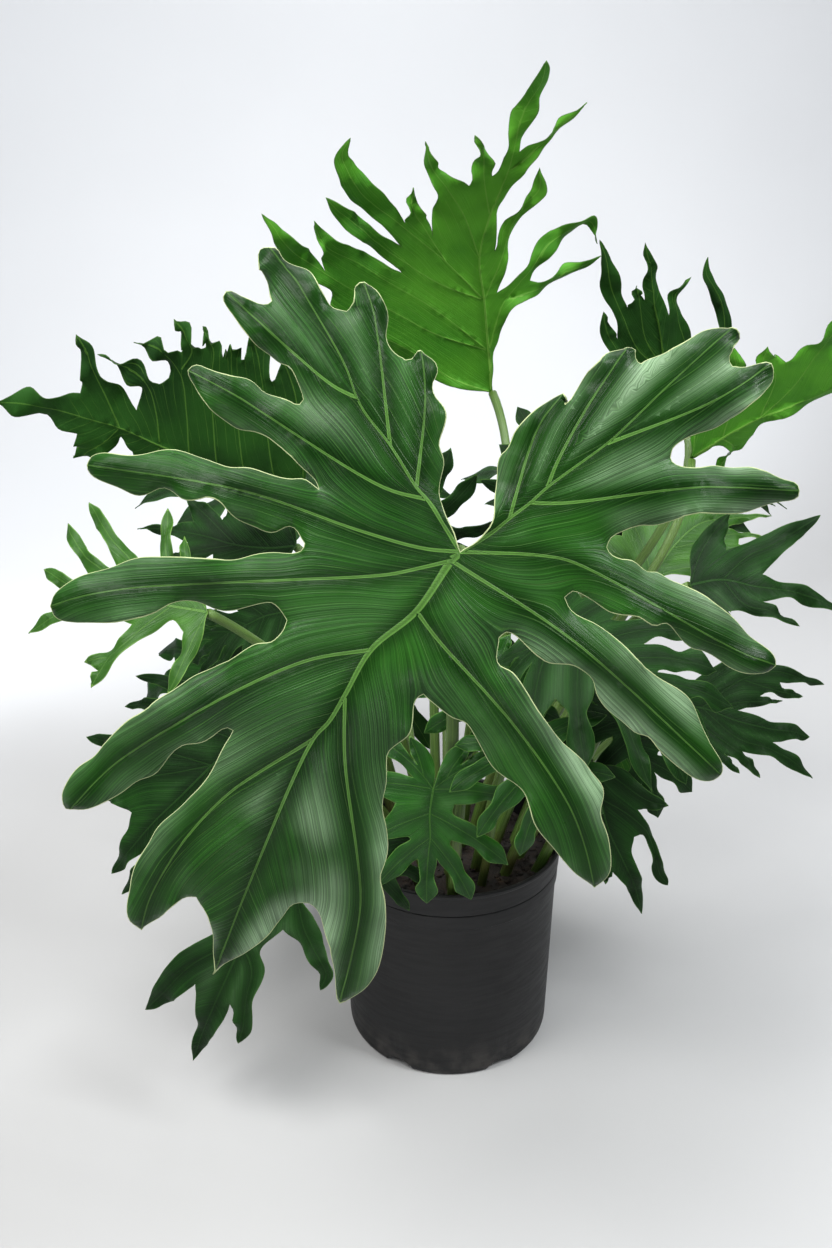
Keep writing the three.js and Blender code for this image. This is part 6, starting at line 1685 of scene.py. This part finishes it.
def shade(red: int, green: int, blue: int) -> Shade:
    """A colour from the screen values 0 to 255 that it is seen as."""
    values = (value / 255 for value in (red, green, blue))
    light = [v / 12.92 if v <= 0.04045 else ((v + 0.055) / 1.055) ** 2.4 for v in values]
    return light[0], light[1], light[2], 1.0


class Graph:
    """Builds one material's nodes from short calls."""

    def __init__(self, name: str) -> None:
        """Starts an empty material with a Principled shader.

        Args:
            name: the material's name.
        """
        self.material = bpy.data.materials.new(name)
        self.material.use_nodes = True
        self.tree = self.material.node_tree
        self.tree.nodes.clear()
        self.output = self.tree.nodes.new("ShaderNodeOutputMaterial")
        self.shader = self.tree.nodes.new("ShaderNodeBsdfPrincipled")
        self.tree.links.new(self.shader.outputs[0], self.output.inputs["Surface"])

    def put(self, socket: Socket, value: object) -> None:
        """Links a socket, or sets it to a number or colour.

        Args:
            socket: the input.
            value: what it gets.
        """
        if isinstance(value, Socket):
            self.tree.links.new(value, socket)
        else:
            socket.default_value = value

    def node(self, kind: str, out: object = 0, **inputs: object) -> Socket:
        """Adds a node.

        Args:
            kind: the node's type without its prefix.
            out: which output is wanted.
            inputs: values by input name, with underscores for spaces.

        Returns:
            The wanted output.
        """
        node = self.tree.nodes.new(f"ShaderNode{kind}")
        for key, value in inputs.items():
            self.put(node.inputs[key.replace("_", " ")], value)
        return node.outputs[out]

    def calc(self, operation: str, *values: object) -> Socket:
        """Adds a Math node.

        Args:
            operation: what it does.
            values: its inputs.

        Returns:
            Its output.
        """
        node = self.tree.nodes.new("ShaderNodeMath")
        node.operation = operation
        for socket, value in zip(node.inputs, values):
            self.put(socket, value)
        return node.outputs[0]

    def times(self, first: object, second: object) -> Socket:
        """One value times another."""
        return self.calc("MULTIPLY", first, second)

    def step(self, value: object, low: object, high: object, start: float = 0.0, stop: float = 1.0) -> Socket:
        """A smooth change from one value to another as a third goes from low to high.

        Args:
            value: the value that is followed.
            low: where the change begins.
            high: where it ends.
            start: the result at low.
            stop: the result at high.

        Returns:
            The result.
        """
        node = self.tree.nodes.new("ShaderNodeMapRange")
        node.interpolation_type = "SMOOTHSTEP"
        for socket, given in zip(node.inputs, (value, low, high, start, stop)):
            self.put(socket, given)
        return node.outputs[0]

    def blend(self, share: object, first: object, second: object) -> Socket:
        """The colour between two colours.

        Args:
            share: how much of the second there is.
            first: one colour.
            second: the other.

        Returns:
            The mixed colour.
        """
        node = self.tree.nodes.new("ShaderNodeMix")
        node.data_type = "RGBA"
        for socket, given in zip((node.inputs[0], node.inputs[6], node.inputs[7]), (share, first, second)):
            self.put(socket, given)
        return node.outputs[2]

    def place(self) -> Socket:
        """The piece's own coordinates in metres."""
        return self.tree.nodes.new("ShaderNodeTexCoord").outputs["Object"]

    def split(self, vector: Socket) -> tuple[Socket, ...]:
        """The three values of a vector."""
        node = self.tree.nodes.new("ShaderNodeSeparateXYZ")
        self.tree.links.new(vector, node.inputs[0])
        return tuple(node.outputs)

    def layer(self, name: str) -> tuple[Socket, ...]:
        """The two values of a UV map."""
        node = self.tree.nodes.new("ShaderNodeUVMap")
        node.uv_map = name
        return self.split(node.outputs[0])[:2]

    def measure(self, name: str) -> tuple[Socket, ...]:
        """The three values of an attribute."""
        node = self.tree.nodes.new("ShaderNodeAttribute")
        node.attribute_name = name
        return self.split(node.outputs["Vector"])

    def noise(self, vector: object, scale: float, detail: float = 2.0, rough: float = 0.5) -> Socket:
        """Even noise from about 0 to 1."""
        return self.node("TexNoise", "Fac", Vector=vector, Scale=scale, Detail=detail, Roughness=rough)

    def bump(self, height: object, distance: float, strength: float = 1.0, normal: object = None) -> Socket:
        """A bumped normal from a height.

        Args:
            height: the height, from 0 to 1.
            distance: how high 1 is, in metres.
            strength: how much of it shows.
            normal: the normal to start from.

        Returns:
            The normal.
        """
        node = self.tree.nodes.new("ShaderNodeBump")
        self.put(node.inputs["Height"], height)
        node.inputs["Distance"].default_value = distance
        node.inputs["Strength"].default_value = strength
        if normal is not None:
            self.put(node.inputs["Normal"], normal)
        return node.outputs[0]

    def surface(self, colour: object, rough: object, normal: object = None, shine: Optional[float] = None) -> None:
        """Gives the shader what it shows.

        Args:
            colour: its base colour.
            rough: its roughness.
            normal: its bumped normal, if it has one.
            shine: how strongly it mirrors, unless that is the usual.
        """
        given = {"Base Color": colour, "Roughness": rough, "Normal": normal, "Specular IOR Level": shine}
        for name, value in given.items():
            if value is not None:
                self.put(self.shader.inputs[name], value)

    def dress(self, piece: bpy.types.Object) -> None:
        """Puts the material on a piece in place of what it had."""
        piece.data.materials.clear()
        piece.data.materials.append(self.material)


@dataclass(frozen=True)
class Marks:
    """What a blade's finish reads at a spot: where it is on the blade, and the fine lines that cross it."""

    place: Socket
    off: Socket
    half: Socket
    edge: Socket
    under: Socket
    fibre: Socket
    lines: Socket
    broad: Socket
    vein: Socket
    rib: Socket
    cloud: Socket


@dataclass(frozen=True)
class BladeFinish:
    """A leaf blade: satin above with fine veins, a painted sheen and painted shade beside its ribs, matt and brighter
    below, a pale rib and margin.
    """

    # Colour of the painted sheen: whitish highlight patches painted on the upper face
    PAINTED_SHEEN: ClassVar[Shade] = shade(166, 196, 158)
    # A spot on the front leaf without painted sheen, and the side of the plant, as x less 0.6 z, that has less
    # painted sheen
    SHEENLESS_SPOT: ClassVar[Triple] = (-0.06, -0.36, 0.57)
    SHEENLESS_SIDE: ClassVar[Pair] = (-0.47, -0.37)
    # Lengths of the streaks, and how far they waver, in millimetres
    FIBRE_LENGTH: ClassVar[float] = 70.0
    LINE_LENGTH: ClassVar[float] = 110.0
    BROAD_LENGTH: ClassVar[float] = 120.0
    WOBBLE: ClassVar[float] = 5.0
    # How far the painted shade beside each rib reaches
    FURROW_SHADE_WIDTH: ClassVar[float] = 10.0
    # Heights of the fine and of the soft relief, in metres
    FINE_RELIEF: ClassVar[float] = 0.00042
    SOFT_RELIEF: ClassVar[float] = 0.0016

    name: str
    top_deep: Shade
    top: Shade
    top_light: Shade
    under: Shade
    under_light: Shade
    rib_top: Shade
    rib: Shade
    margin: Shade
    gloss: float = 0.36
    through: float = 0.14
    line_step: float = 0.9
    vein_step: float = 7.0
    margin_width: float = 0.2
    shine: float = 0.45
    # How strong the painted sheen is
    painted_sheen_strength: float = 0.3

    def build(self) -> Graph:
        """Makes the material.

        Returns:
            Its graph.
        """
        g = Graph(self.name)
        marks = self.read_marks(g)
        colour = g.blend(marks.under, self.upper_colour(g, marks), self.lower_colour(g, marks))
        core = g.step(marks.off, g.times(marks.half, 0.15), g.times(marks.half, 0.6), 1.0, 0.0)
        ridge = g.blend(marks.under, self.rib_top, self.rib)
        ridge = g.blend(g.times(core, 0.4), ridge, colour)
        colour = g.blend(marks.rib, colour, ridge)
        margin = g.step(marks.edge, self.margin_width, self.margin_width * 1.7, 1.0, 0.0)
        colour = g.blend(margin, colour, self.margin)
        rough = g.step(g.noise(marks.place, 60, 3), 0.25, 0.75, self.gloss - 0.05, self.gloss + 0.09)
        rough = g.calc("ADD", rough, g.times(marks.under, 0.2))
        g.surface(colour, rough, self.relief(g, marks), self.shine)
        light = g.tree.nodes.new("ShaderNodeBsdfTranslucent")
        g.put(light.inputs["Color"], colour)
        both = g.tree.nodes.new("ShaderNodeMixShader")
        for socket, given in zip(both.inputs, (self.through, g.shader.outputs[0], light.outputs[0])):
            g.put(socket, given)
        g.put(g.output.inputs["Surface"], both.outputs[0])
        return g

    def read_marks(self, g: Graph) -> Marks:
        """Adds the nodes that find a spot's place on the blade and its lines.

        Args:
            g: the material's graph.

        Returns:
            What they give.
        """
        place = g.place()
        flow, off = g.layer("veins")
        half, edge, side = g.measure("blade")
        flow = g.calc("ADD", flow, g.times(g.calc("SUBTRACT", g.noise(place, 16, 1), 0.5), self.WOBBLE))
        saw = g.calc("ABSOLUTE", g.calc("SUBTRACT", g.calc("FRACT", g.calc("DIVIDE", flow, self.vein_step)), 0.5))
        vein = g.times(g.step(saw, 0.01, 0.05, 1.0, 0.0), g.step(g.noise(place, 30, 2), 0.35, 0.65))
        rib = g.step(off, g.times(half, 0.75), g.times(half, 1.0), 1.0, 0.0)
        return Marks(
            place, off, half, edge,
            under=g.step(side, 0.4, 0.9),
            fibre=self.streaks(g, flow, off, self.line_step * 0.45, self.FIBRE_LENGTH),
            lines=self.streaks(g, flow, off, self.line_step, self.LINE_LENGTH),
            broad=self.streaks(g, flow, off, self.line_step * 4, self.BROAD_LENGTH),
            vein=vein,
            rib=g.times(rib, g.step(half, 0.1, 1.1, 0.45, 0.95)),
            cloud=g.step(g.noise(place, 11, 3, 0.6), 0.3, 0.7),
        )

    def painted_sheen_mask(self, g: Graph, marks: Marks) -> Socket:
        """How much painted sheen lies on the upper face: whitish highlight patches painted into its colour.

        Args:
            g: the material's graph.
            marks: what is known of the spot.

        Returns:
            A value from 0 to 1.
        """
        # Painted sheen: whitish patches from noise, fewer near the ribs, at one spot and on one side of the plant
        painted_sheen = g.step(g.noise(marks.place, 9.5, 2, 0.5), 0.4, 0.62, 0.0, self.painted_sheen_strength)
        across, _, high = g.split(marks.place)
        lean = g.calc("SUBTRACT", across, g.times(high, 0.6))
        away = g.tree.nodes.new("ShaderNodeVectorMath")
        away.operation = "DISTANCE"
        g.put(away.inputs[0], marks.place)
        g.put(away.inputs[1], self.SHEENLESS_SPOT)
        for share in (
            g.step(lean, *self.SHEENLESS_SIDE, 0.25, 1.0),
            g.step(away.outputs["Value"], 0.07, 0.15, 0.08, 1.0),
            g.step(marks.off, 3.0, 17.0),
            g.step(marks.fibre, 0.35, 0.6, 0.45, 1.0),
        ):
            painted_sheen = g.times(painted_sheen, share)
        return painted_sheen

    def upper_colour(self, g: Graph, marks: Marks) -> Socket:
        """The colour of the upper face between its ribs, with painted shade beside the ribs and a painted sheen.

        Args:
            g: the material's graph.
            marks: what is known of the spot.

        Returns:
            The colour.
        """
        # Painted shade in the furrow beside each rib, on the upper face only
        furrow_shade = g.step(marks.off, marks.half, g.calc("ADD", marks.half, self.FURROW_SHADE_WIDTH), 0.6, 0.0)
        colour = self.top
        for share, over in (
            (g.times(marks.cloud, 0.55), self.top_light),
            (g.step(marks.lines, 0.48, 0.72, 0.0, 0.65), self.top_light),
            (g.step(marks.fibre, 0.5, 0.7, 0.0, 0.85), self.top_light),
            (g.step(marks.fibre, 0.32, 0.5, 0.45, 0.0), self.top_deep),
            (g.step(marks.broad, 0.35, 0.55, 0.12, 0.0), self.top_deep),
            # Painted shade beside the ribs
            (g.times(furrow_shade, g.calc("SUBTRACT", 1.0, marks.under)), self.top_deep),
            (g.times(marks.vein, 0.28), self.rib_top),
            # Painted sheen on the upper face
            (self.painted_sheen_mask(g, marks), self.PAINTED_SHEEN),
        ):
            colour = g.blend(share, colour, over)
        return colour

    def lower_colour(self, g: Graph, marks: Marks) -> Socket:
        """The colour of the lower face between its ribs.

        Args:
            g: the material's graph.
            marks: what is known of the spot.

        Returns:
            The colour.
        """
        colour = g.blend(marks.cloud, self.under, self.under_light)
        colour = g.blend(g.step(marks.lines, 0.45, 0.72, 0.0, 0.5), colour, self.under_light)
        return g.blend(g.times(marks.vein, 0.4), colour, self.rib)

    def relief(self, g: Graph, marks: Marks) -> Socket:
        """The bumped normal: fine lines and ribs over a soft unevenness.

        Args:
            g: the material's graph.
            marks: what is known of the spot.

        Returns:
            The normal.
        """
        height = marks.lines
        for mark, share in ((marks.fibre, 0.9), (marks.broad, 0.8), (marks.vein, -0.4), (marks.rib, 0.8)):
            height = g.calc("ADD", height, g.times(mark, share))
        soft = g.bump(g.noise(marks.place, 48, 3, 0.55), self.SOFT_RELIEF, 0.55)
        return g.bump(height, self.FINE_RELIEF, 0.9, soft)

    @staticmethod
    def streaks(g: Graph, flow: object, off: object, width: float, length: float) -> Socket:
        """Uneven fine lines that follow the veins.

        Args:
            g: the material's graph.
            flow: the distance across the veins.
            off: the distance from the rib.
            width: about how wide a line is, in millimetres.
            length: about how long a line is.

        Returns:
            A value from 0 to 1.
        """
        spot = g.node("CombineXYZ", X=g.calc("DIVIDE", flow, width), Y=g.calc("DIVIDE", off, length))
        return g.noise(spot, 1.0, 2.0, 0.6)


BLADE_FINISHES = {
    Tone.FRONT: BladeFinish(
        "leaf_front", shade(4, 22, 2), shade(12, 47, 8), shade(46, 98, 30), shade(56, 112, 40),
        shade(80, 138, 54), shade(84, 126, 56), shade(120, 160, 80), shade(176, 188, 138),
        line_step=1.3, vein_step=6.5, margin_width=0.2, gloss=0.32, painted_sheen_strength=0.64, shine=0.13,
    ),
    # Painted shade: a darker copy of the leaf colours for the other leaves
    Tone.DEEP_PAINTED_SHADE: BladeFinish(
        "leaf_deep_painted_shade", shade(5, 20, 4), shade(12, 42, 9), shade(32, 76, 20), shade(20, 52, 14),
        shade(36, 80, 22), shade(34, 68, 24), shade(88, 132, 50), shade(52, 84, 34),
        gloss=0.5, shine=0.12, painted_sheen_strength=0.07,
    ),
    # Painted light: a brighter copy of the leaf colours for leaves lit from behind
    Tone.BRIGHT_PAINTED_BACKLIGHT: BladeFinish(
        "leaf_bright_painted_backlight", shade(12, 42, 8), shade(22, 72, 14), shade(50, 114, 28), shade(52, 120, 18),
        shade(86, 158, 36), shade(66, 116, 38), shade(118, 172, 66), shade(80, 124, 50),
        gloss=0.4, through=0.2, shine=0.25, painted_sheen_strength=0.12,
    ),
    Tone.YOUNG: BladeFinish(
        "leaf_young", shade(34, 74, 18), shade(50, 98, 26), shade(78, 130, 42), shade(62, 116, 26),
        shade(88, 146, 42), shade(90, 134, 54), shade(116, 158, 66), shade(104, 142, 64),
        gloss=0.42, through=0.22, shine=0.3, painted_sheen_strength=0.12,
    ),
}


@dataclass(frozen=True)
class StalkFinish:
    """A fleshy olive stalk: fine streaks along it, browner toward its foot."""

    name: str = "leaf_stalk"
    green: Shade = shade(60, 92, 32)
    pale: Shade = shade(90, 120, 50)
    brown: Shade = shade(78, 68, 38)

    def build(self) -> Graph:
        """Makes the material.

        Returns:
            Its graph.
        """
        g = Graph(self.name)
        turn, run = g.layer("stalk")
        angle = g.times(turn, 2 * math.pi)
        ring = g.node("CombineXYZ", X=g.calc("COSINE", angle), Y=g.calc("SINE", angle), Z=g.times(run, 0.25))
        streak = g.noise(ring, 5.5, 4, 0.65)
        fine = g.noise(ring, 17, 3, 0.6)
        place = g.place()
        colour = g.blend(g.step(streak, 0.35, 0.65), self.green, self.pale)
        low = g.step(run, 0.1, 1.6, 0.8, 0.1)
        colour = g.blend(g.times(low, g.step(g.noise(place, 30, 3), 0.3, 0.7)), colour, self.brown)
        fleck = g.step(g.noise(place, 420, 1), 0.66, 0.74, 0.0, 0.45)
        colour = g.blend(fleck, colour, self.pale)
        g.surface(colour, g.step(streak, 0.3, 0.7, 0.34, 0.5), g.bump(fine, 0.0006, 0.7))
        return g


@dataclass(frozen=True)
class PotFinish:
    """Matt charcoal plastic with a fine moulded grain, dull scuffs and a little dust."""

    name: str = "pot_plastic"
    dark: Shade = shade(9, 9, 10)
    worn: Shade = shade(18, 18, 19)
    dust: Shade = shade(78, 74, 70)

    def build(self) -> Graph:
        """Makes the material.

        Returns:
            Its graph.
        """
        g = Graph(self.name)
        place = g.place()
        cloud = g.noise(place, 9, 4, 0.6)
        grain = g.noise(place, 900, 2, 0.6)
        scuff = g.node("Mapping", Vector=place, Scale=(1.0, 1.0, 9.0))
        scratch = g.noise(scuff, 26, 5, 0.7)
        colour = g.blend(g.step(cloud, 0.35, 0.7), self.dark, self.worn)
        colour = g.blend(g.step(scratch, 0.62, 0.72, 0.0, 0.5), colour, self.worn)
        low = g.step(g.split(place)[2], 0.0, 0.05, 0.4, 0.0)
        colour = g.blend(g.times(low, g.step(g.noise(place, 60, 4), 0.4, 0.7)), colour, self.dust)
        ripple = g.bump(g.noise(place, 35, 2), 0.0012, 0.25)
        normal = g.bump(grain, 0.00018, 0.6, ripple)
        g.surface(colour, g.step(scratch, 0.3, 0.7, 0.5, 0.64), normal, 0.36)
        return g


@dataclass(frozen=True)
class SoilFinish:
    """Dark damp potting soil with paler bark fibres."""

    name: str
    dark: Shade = shade(18, 14, 11)
    brown: Shade = shade(40, 30, 22)
    bark: Shade = shade(80, 60, 42)

    def build(self) -> Graph:
        """Makes the material.

        Returns:
            Its graph.
        """
        g = Graph(self.name)
        place = g.place()
        clod = g.noise(place, 130, 6, 0.7)
        colour = g.blend(g.step(clod, 0.35, 0.65), self.dark, self.brown)
        colour = g.blend(g.step(g.noise(place, 75, 3), 0.6, 0.75, 0.0, 0.8), colour, self.bark)
        g.surface(colour, g.step(clod, 0.3, 0.7, 0.8, 0.97), g.bump(clod, 0.002, 0.9))
        return g


@dataclass(frozen=True)
class PaperFinish:
    """The pale studio floor and backdrop, with painted shade: a darker grey on the floor toward the front."""

    name: str = "studio_paper"
    pale: Shade = shade(226, 228, 231)
    cloud: Shade = shade(221, 223, 226)
    # Grey of the painted shade on the floor
    floor: Shade = shade(173, 173, 173)

    def build(self) -> Graph:
        """Makes the material.

        Returns:
            Its graph.
        """
        g = Graph(self.name)
        place = g.place()
        paper = g.blend(g.step(g.noise(place, 1.5, 2), 0.2, 0.8), self.pale, self.cloud)
        across, deep, _ = g.split(place)
        # Painted shade by place: darker grey toward the front of the floor, fading into the pale paper further back
        floor = g.step(g.calc("SUBTRACT", deep, g.times(across, 0.9)), 0.5, 2.0, 1.0, 0.0)
        floor = g.calc("SUBTRACT", floor, g.step(across, -0.5, 0.7, 0.0, 0.3))
        g.surface(g.blend(g.step(floor, 0.0, 1.0), paper, self.floor), 0.9, shine=0.1)
        return g


@dataclass
class Studio:
    """The floor with its swept-up backdrop, the lights and the camera."""

    # Name, place, target, side, power and tint of each light
    lights: tuple[tuple, ...] = (
        ("key", (-0.9, -0.8, 2.1), (0, -0.1, 0.5), 1.1, 64, (1.0, 0.995, 0.98)),
        ("sheen", (1.2, -0.6, 1.9), (0.05, -0.3, 0.6), 0.6, 40, (0.97, 0.99, 1.0)),
        ("face", (-0.5, -1.7, 0.25), (-0.1, -0.4, 0.35), 0.4, 6, (1.0, 1.0, 1.0)),
        ("back", (0.2, 1.0, 2.4), (0, 0.0, 0.5), 1.6, 22, (1.0, 1.0, 1.0)),
        ("wall", (-0.2, 0.9, 2.7), (-0.1, 2.0, 0.6), 1.8, 14, (0.98, 0.99, 1.0)),
    )
    sky: Shade = (0.93, 0.95, 1.0, 1)
    sky_strength: float = 0.21

    half_width: float = 4.0
    near: float = -3.0
    sweep_start: float = 1.3
    sweep: float = 1.2
    top: float = 4.0
    camera_place: Triple = (-0.0323, -1.0065, 0.8385)
    camera_pitch: float = 22.3
    lens: float = 34.99

    def build_backdrop(self) -> bpy.types.Object:
        """Draws the floor and the curve up to the backdrop.

        Returns:
            The backdrop.
        """
        turns = np.linspace(0, math.pi / 2, 25)
        curve = [(self.sweep_start + self.sweep * math.sin(t), self.sweep * (1 - math.cos(t))) for t in turns]
        line = [(self.near, 0.0), *curve, (self.sweep_start + self.sweep, self.top)]
        points = np.array([(x, y, z) for y, z in line for x in (-self.half_width, self.half_width)])
        faces = [(2 * i, 2 * i + 1, 2 * i + 3, 2 * i + 2) for i in range(len(line) - 1)]
        backdrop = mesh_piece("backdrop", points, faces)
        PaperFinish().build().dress(backdrop)
        return backdrop

    @staticmethod
    def add_light(name: str, place: Triple, target: Triple, size: float, power: float, tint: Triple) -> None:
        """Adds a soft square light.

        Args:
            name: its name.
            place: where it is.
            target: what it points at.
            size: its side.
            power: its power in watts.
            tint: its colour.
        """
        data = bpy.data.lights.new(name, "AREA")
        data.shape, data.size, data.energy, data.color = "SQUARE", size, power, tint
        lamp = bpy.data.objects.new(name, data)
        lamp.location = place
        lamp.rotation_euler = (Vector(target) - Vector(place)).to_track_quat("-Z", "Y").to_euler()
        bpy.context.collection.objects.link(lamp)

    def build(self) -> None:
        """Sets up the whole studio."""
        self.build_backdrop()
        for light in self.lights:
            self.add_light(*light)
        world = bpy.data.worlds.new("studio")
        world.use_nodes = True
        sky = world.node_tree.nodes["Background"].inputs
        sky["Color"].default_value, sky["Strength"].default_value = self.sky, self.sky_strength
        bpy.context.scene.world = world
        data = bpy.data.cameras.new("camera")
        data.sensor_width, data.lens = 36.0, self.lens
        camera = bpy.data.objects.new("camera", data)
        camera.location = self.camera_place
        camera.rotation_euler = (math.radians(90 - self.camera_pitch), 0, 0)
        bpy.context.collection.objects.link(camera)
        bpy.context.scene.camera = camera
        bpy.context.scene.view_settings.view_transform = "Standard"


@dataclass
class Plant:
    """The whole potted plant, leaf by leaf."""

    front_grain: Grain = Grain(edge=2.8, rib=3.0, face=4.2)
    near_grain: Grain = Grain(edge=3.0, rib=3.6, face=5.5)
    small_grain: Grain = Grain(edge=2.2, rib=2.6, face=3.6)
    small_length: float = 120
    front_quilt: Pair = (1.5, 17.0)
    near_quilt: Pair = (0.9, 13.0)

    def __post_init__(self) -> None:
        """Makes the finishes that the leaves share."""
        self.blade_finishes = {tone: finish.build() for tone, finish in BLADE_FINISHES.items()}
        self.stalk_finish = StalkFinish().build()

    @staticmethod
    def plan_of(leaf: Leaf) -> LeafPlan:
        """The leaf's plan, drawn or grown.

        Args:
            leaf: the leaf.

        Returns:
            Its plan.
        """
        if leaf is FRONT_LEAF:
            return LeafPlan(FRONT_LOBES)
        if leaf.shape is None:
            return LeafPlan(DRAWN_LOBES[leaf.name])
        return LeafPlan(cut_lobes(leaf.shape, leaf.length, draws(leaf.seed)))

    def add_leaf(self, leaf: Leaf) -> None:
        """Builds one leaf's blade and stalk in place of their plain solids.

        Args:
            leaf: the leaf.
        """
        grain, quilt = self.near_grain, self.near_quilt
        if leaf is FRONT_LEAF:
            grain, quilt = self.front_grain, self.front_quilt
        elif leaf.length < self.small_length:
            grain = self.small_grain
        blade = Blade(leaf, self.plan_of(leaf), grain, quilt).build()
        self.finish_piece(blade, f"{leaf.name}_blade", self.blade_finishes[leaf.tone], "leaf_blade")
        self.finish_piece(Stem(leaf).build(), f"{leaf.name}_stem", self.stalk_finish, "leaf_stem")

    @staticmethod
    def finish_piece(piece: bpy.types.Object, node: str, finish: Graph, slot: str) -> None:
        """Gives a piece its material and its place in the frame.

        Args:
            piece: the piece.
            node: the solid that it stands in for, or an empty text.
            finish: its material.
            slot: the material's name in the library, not used.
        """
        finish.dress(piece)
        if node:
            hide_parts(node)
        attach(piece, "root")
        log.info("%s: %d faces", piece.name, len(piece.data.polygons))

    def build(self) -> None:
        """Builds every leaf, then the pot and soil."""
        for leaf in (FRONT_LEAF, *LEAVES):
            self.add_leaf(leaf)
        soil = Soil()
        ground = SoilFinish("potting_soil").build()
        self.finish_piece(soil.build(), "soil", ground, "potting_soil")
        self.finish_piece(soil.build_crumbs(), "", ground, "potting_soil")
        self.finish_piece(Pot().build(), "pot", PotFinish().build(), "pot_plastic")


def main() -> None:
    """Builds the plant in its studio."""
    logging.basicConfig(level=logging.INFO, format="%(name)s: %(message)s")
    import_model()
    Plant().build()
    Studio().build()


if __name__ == "__main__":
    main()
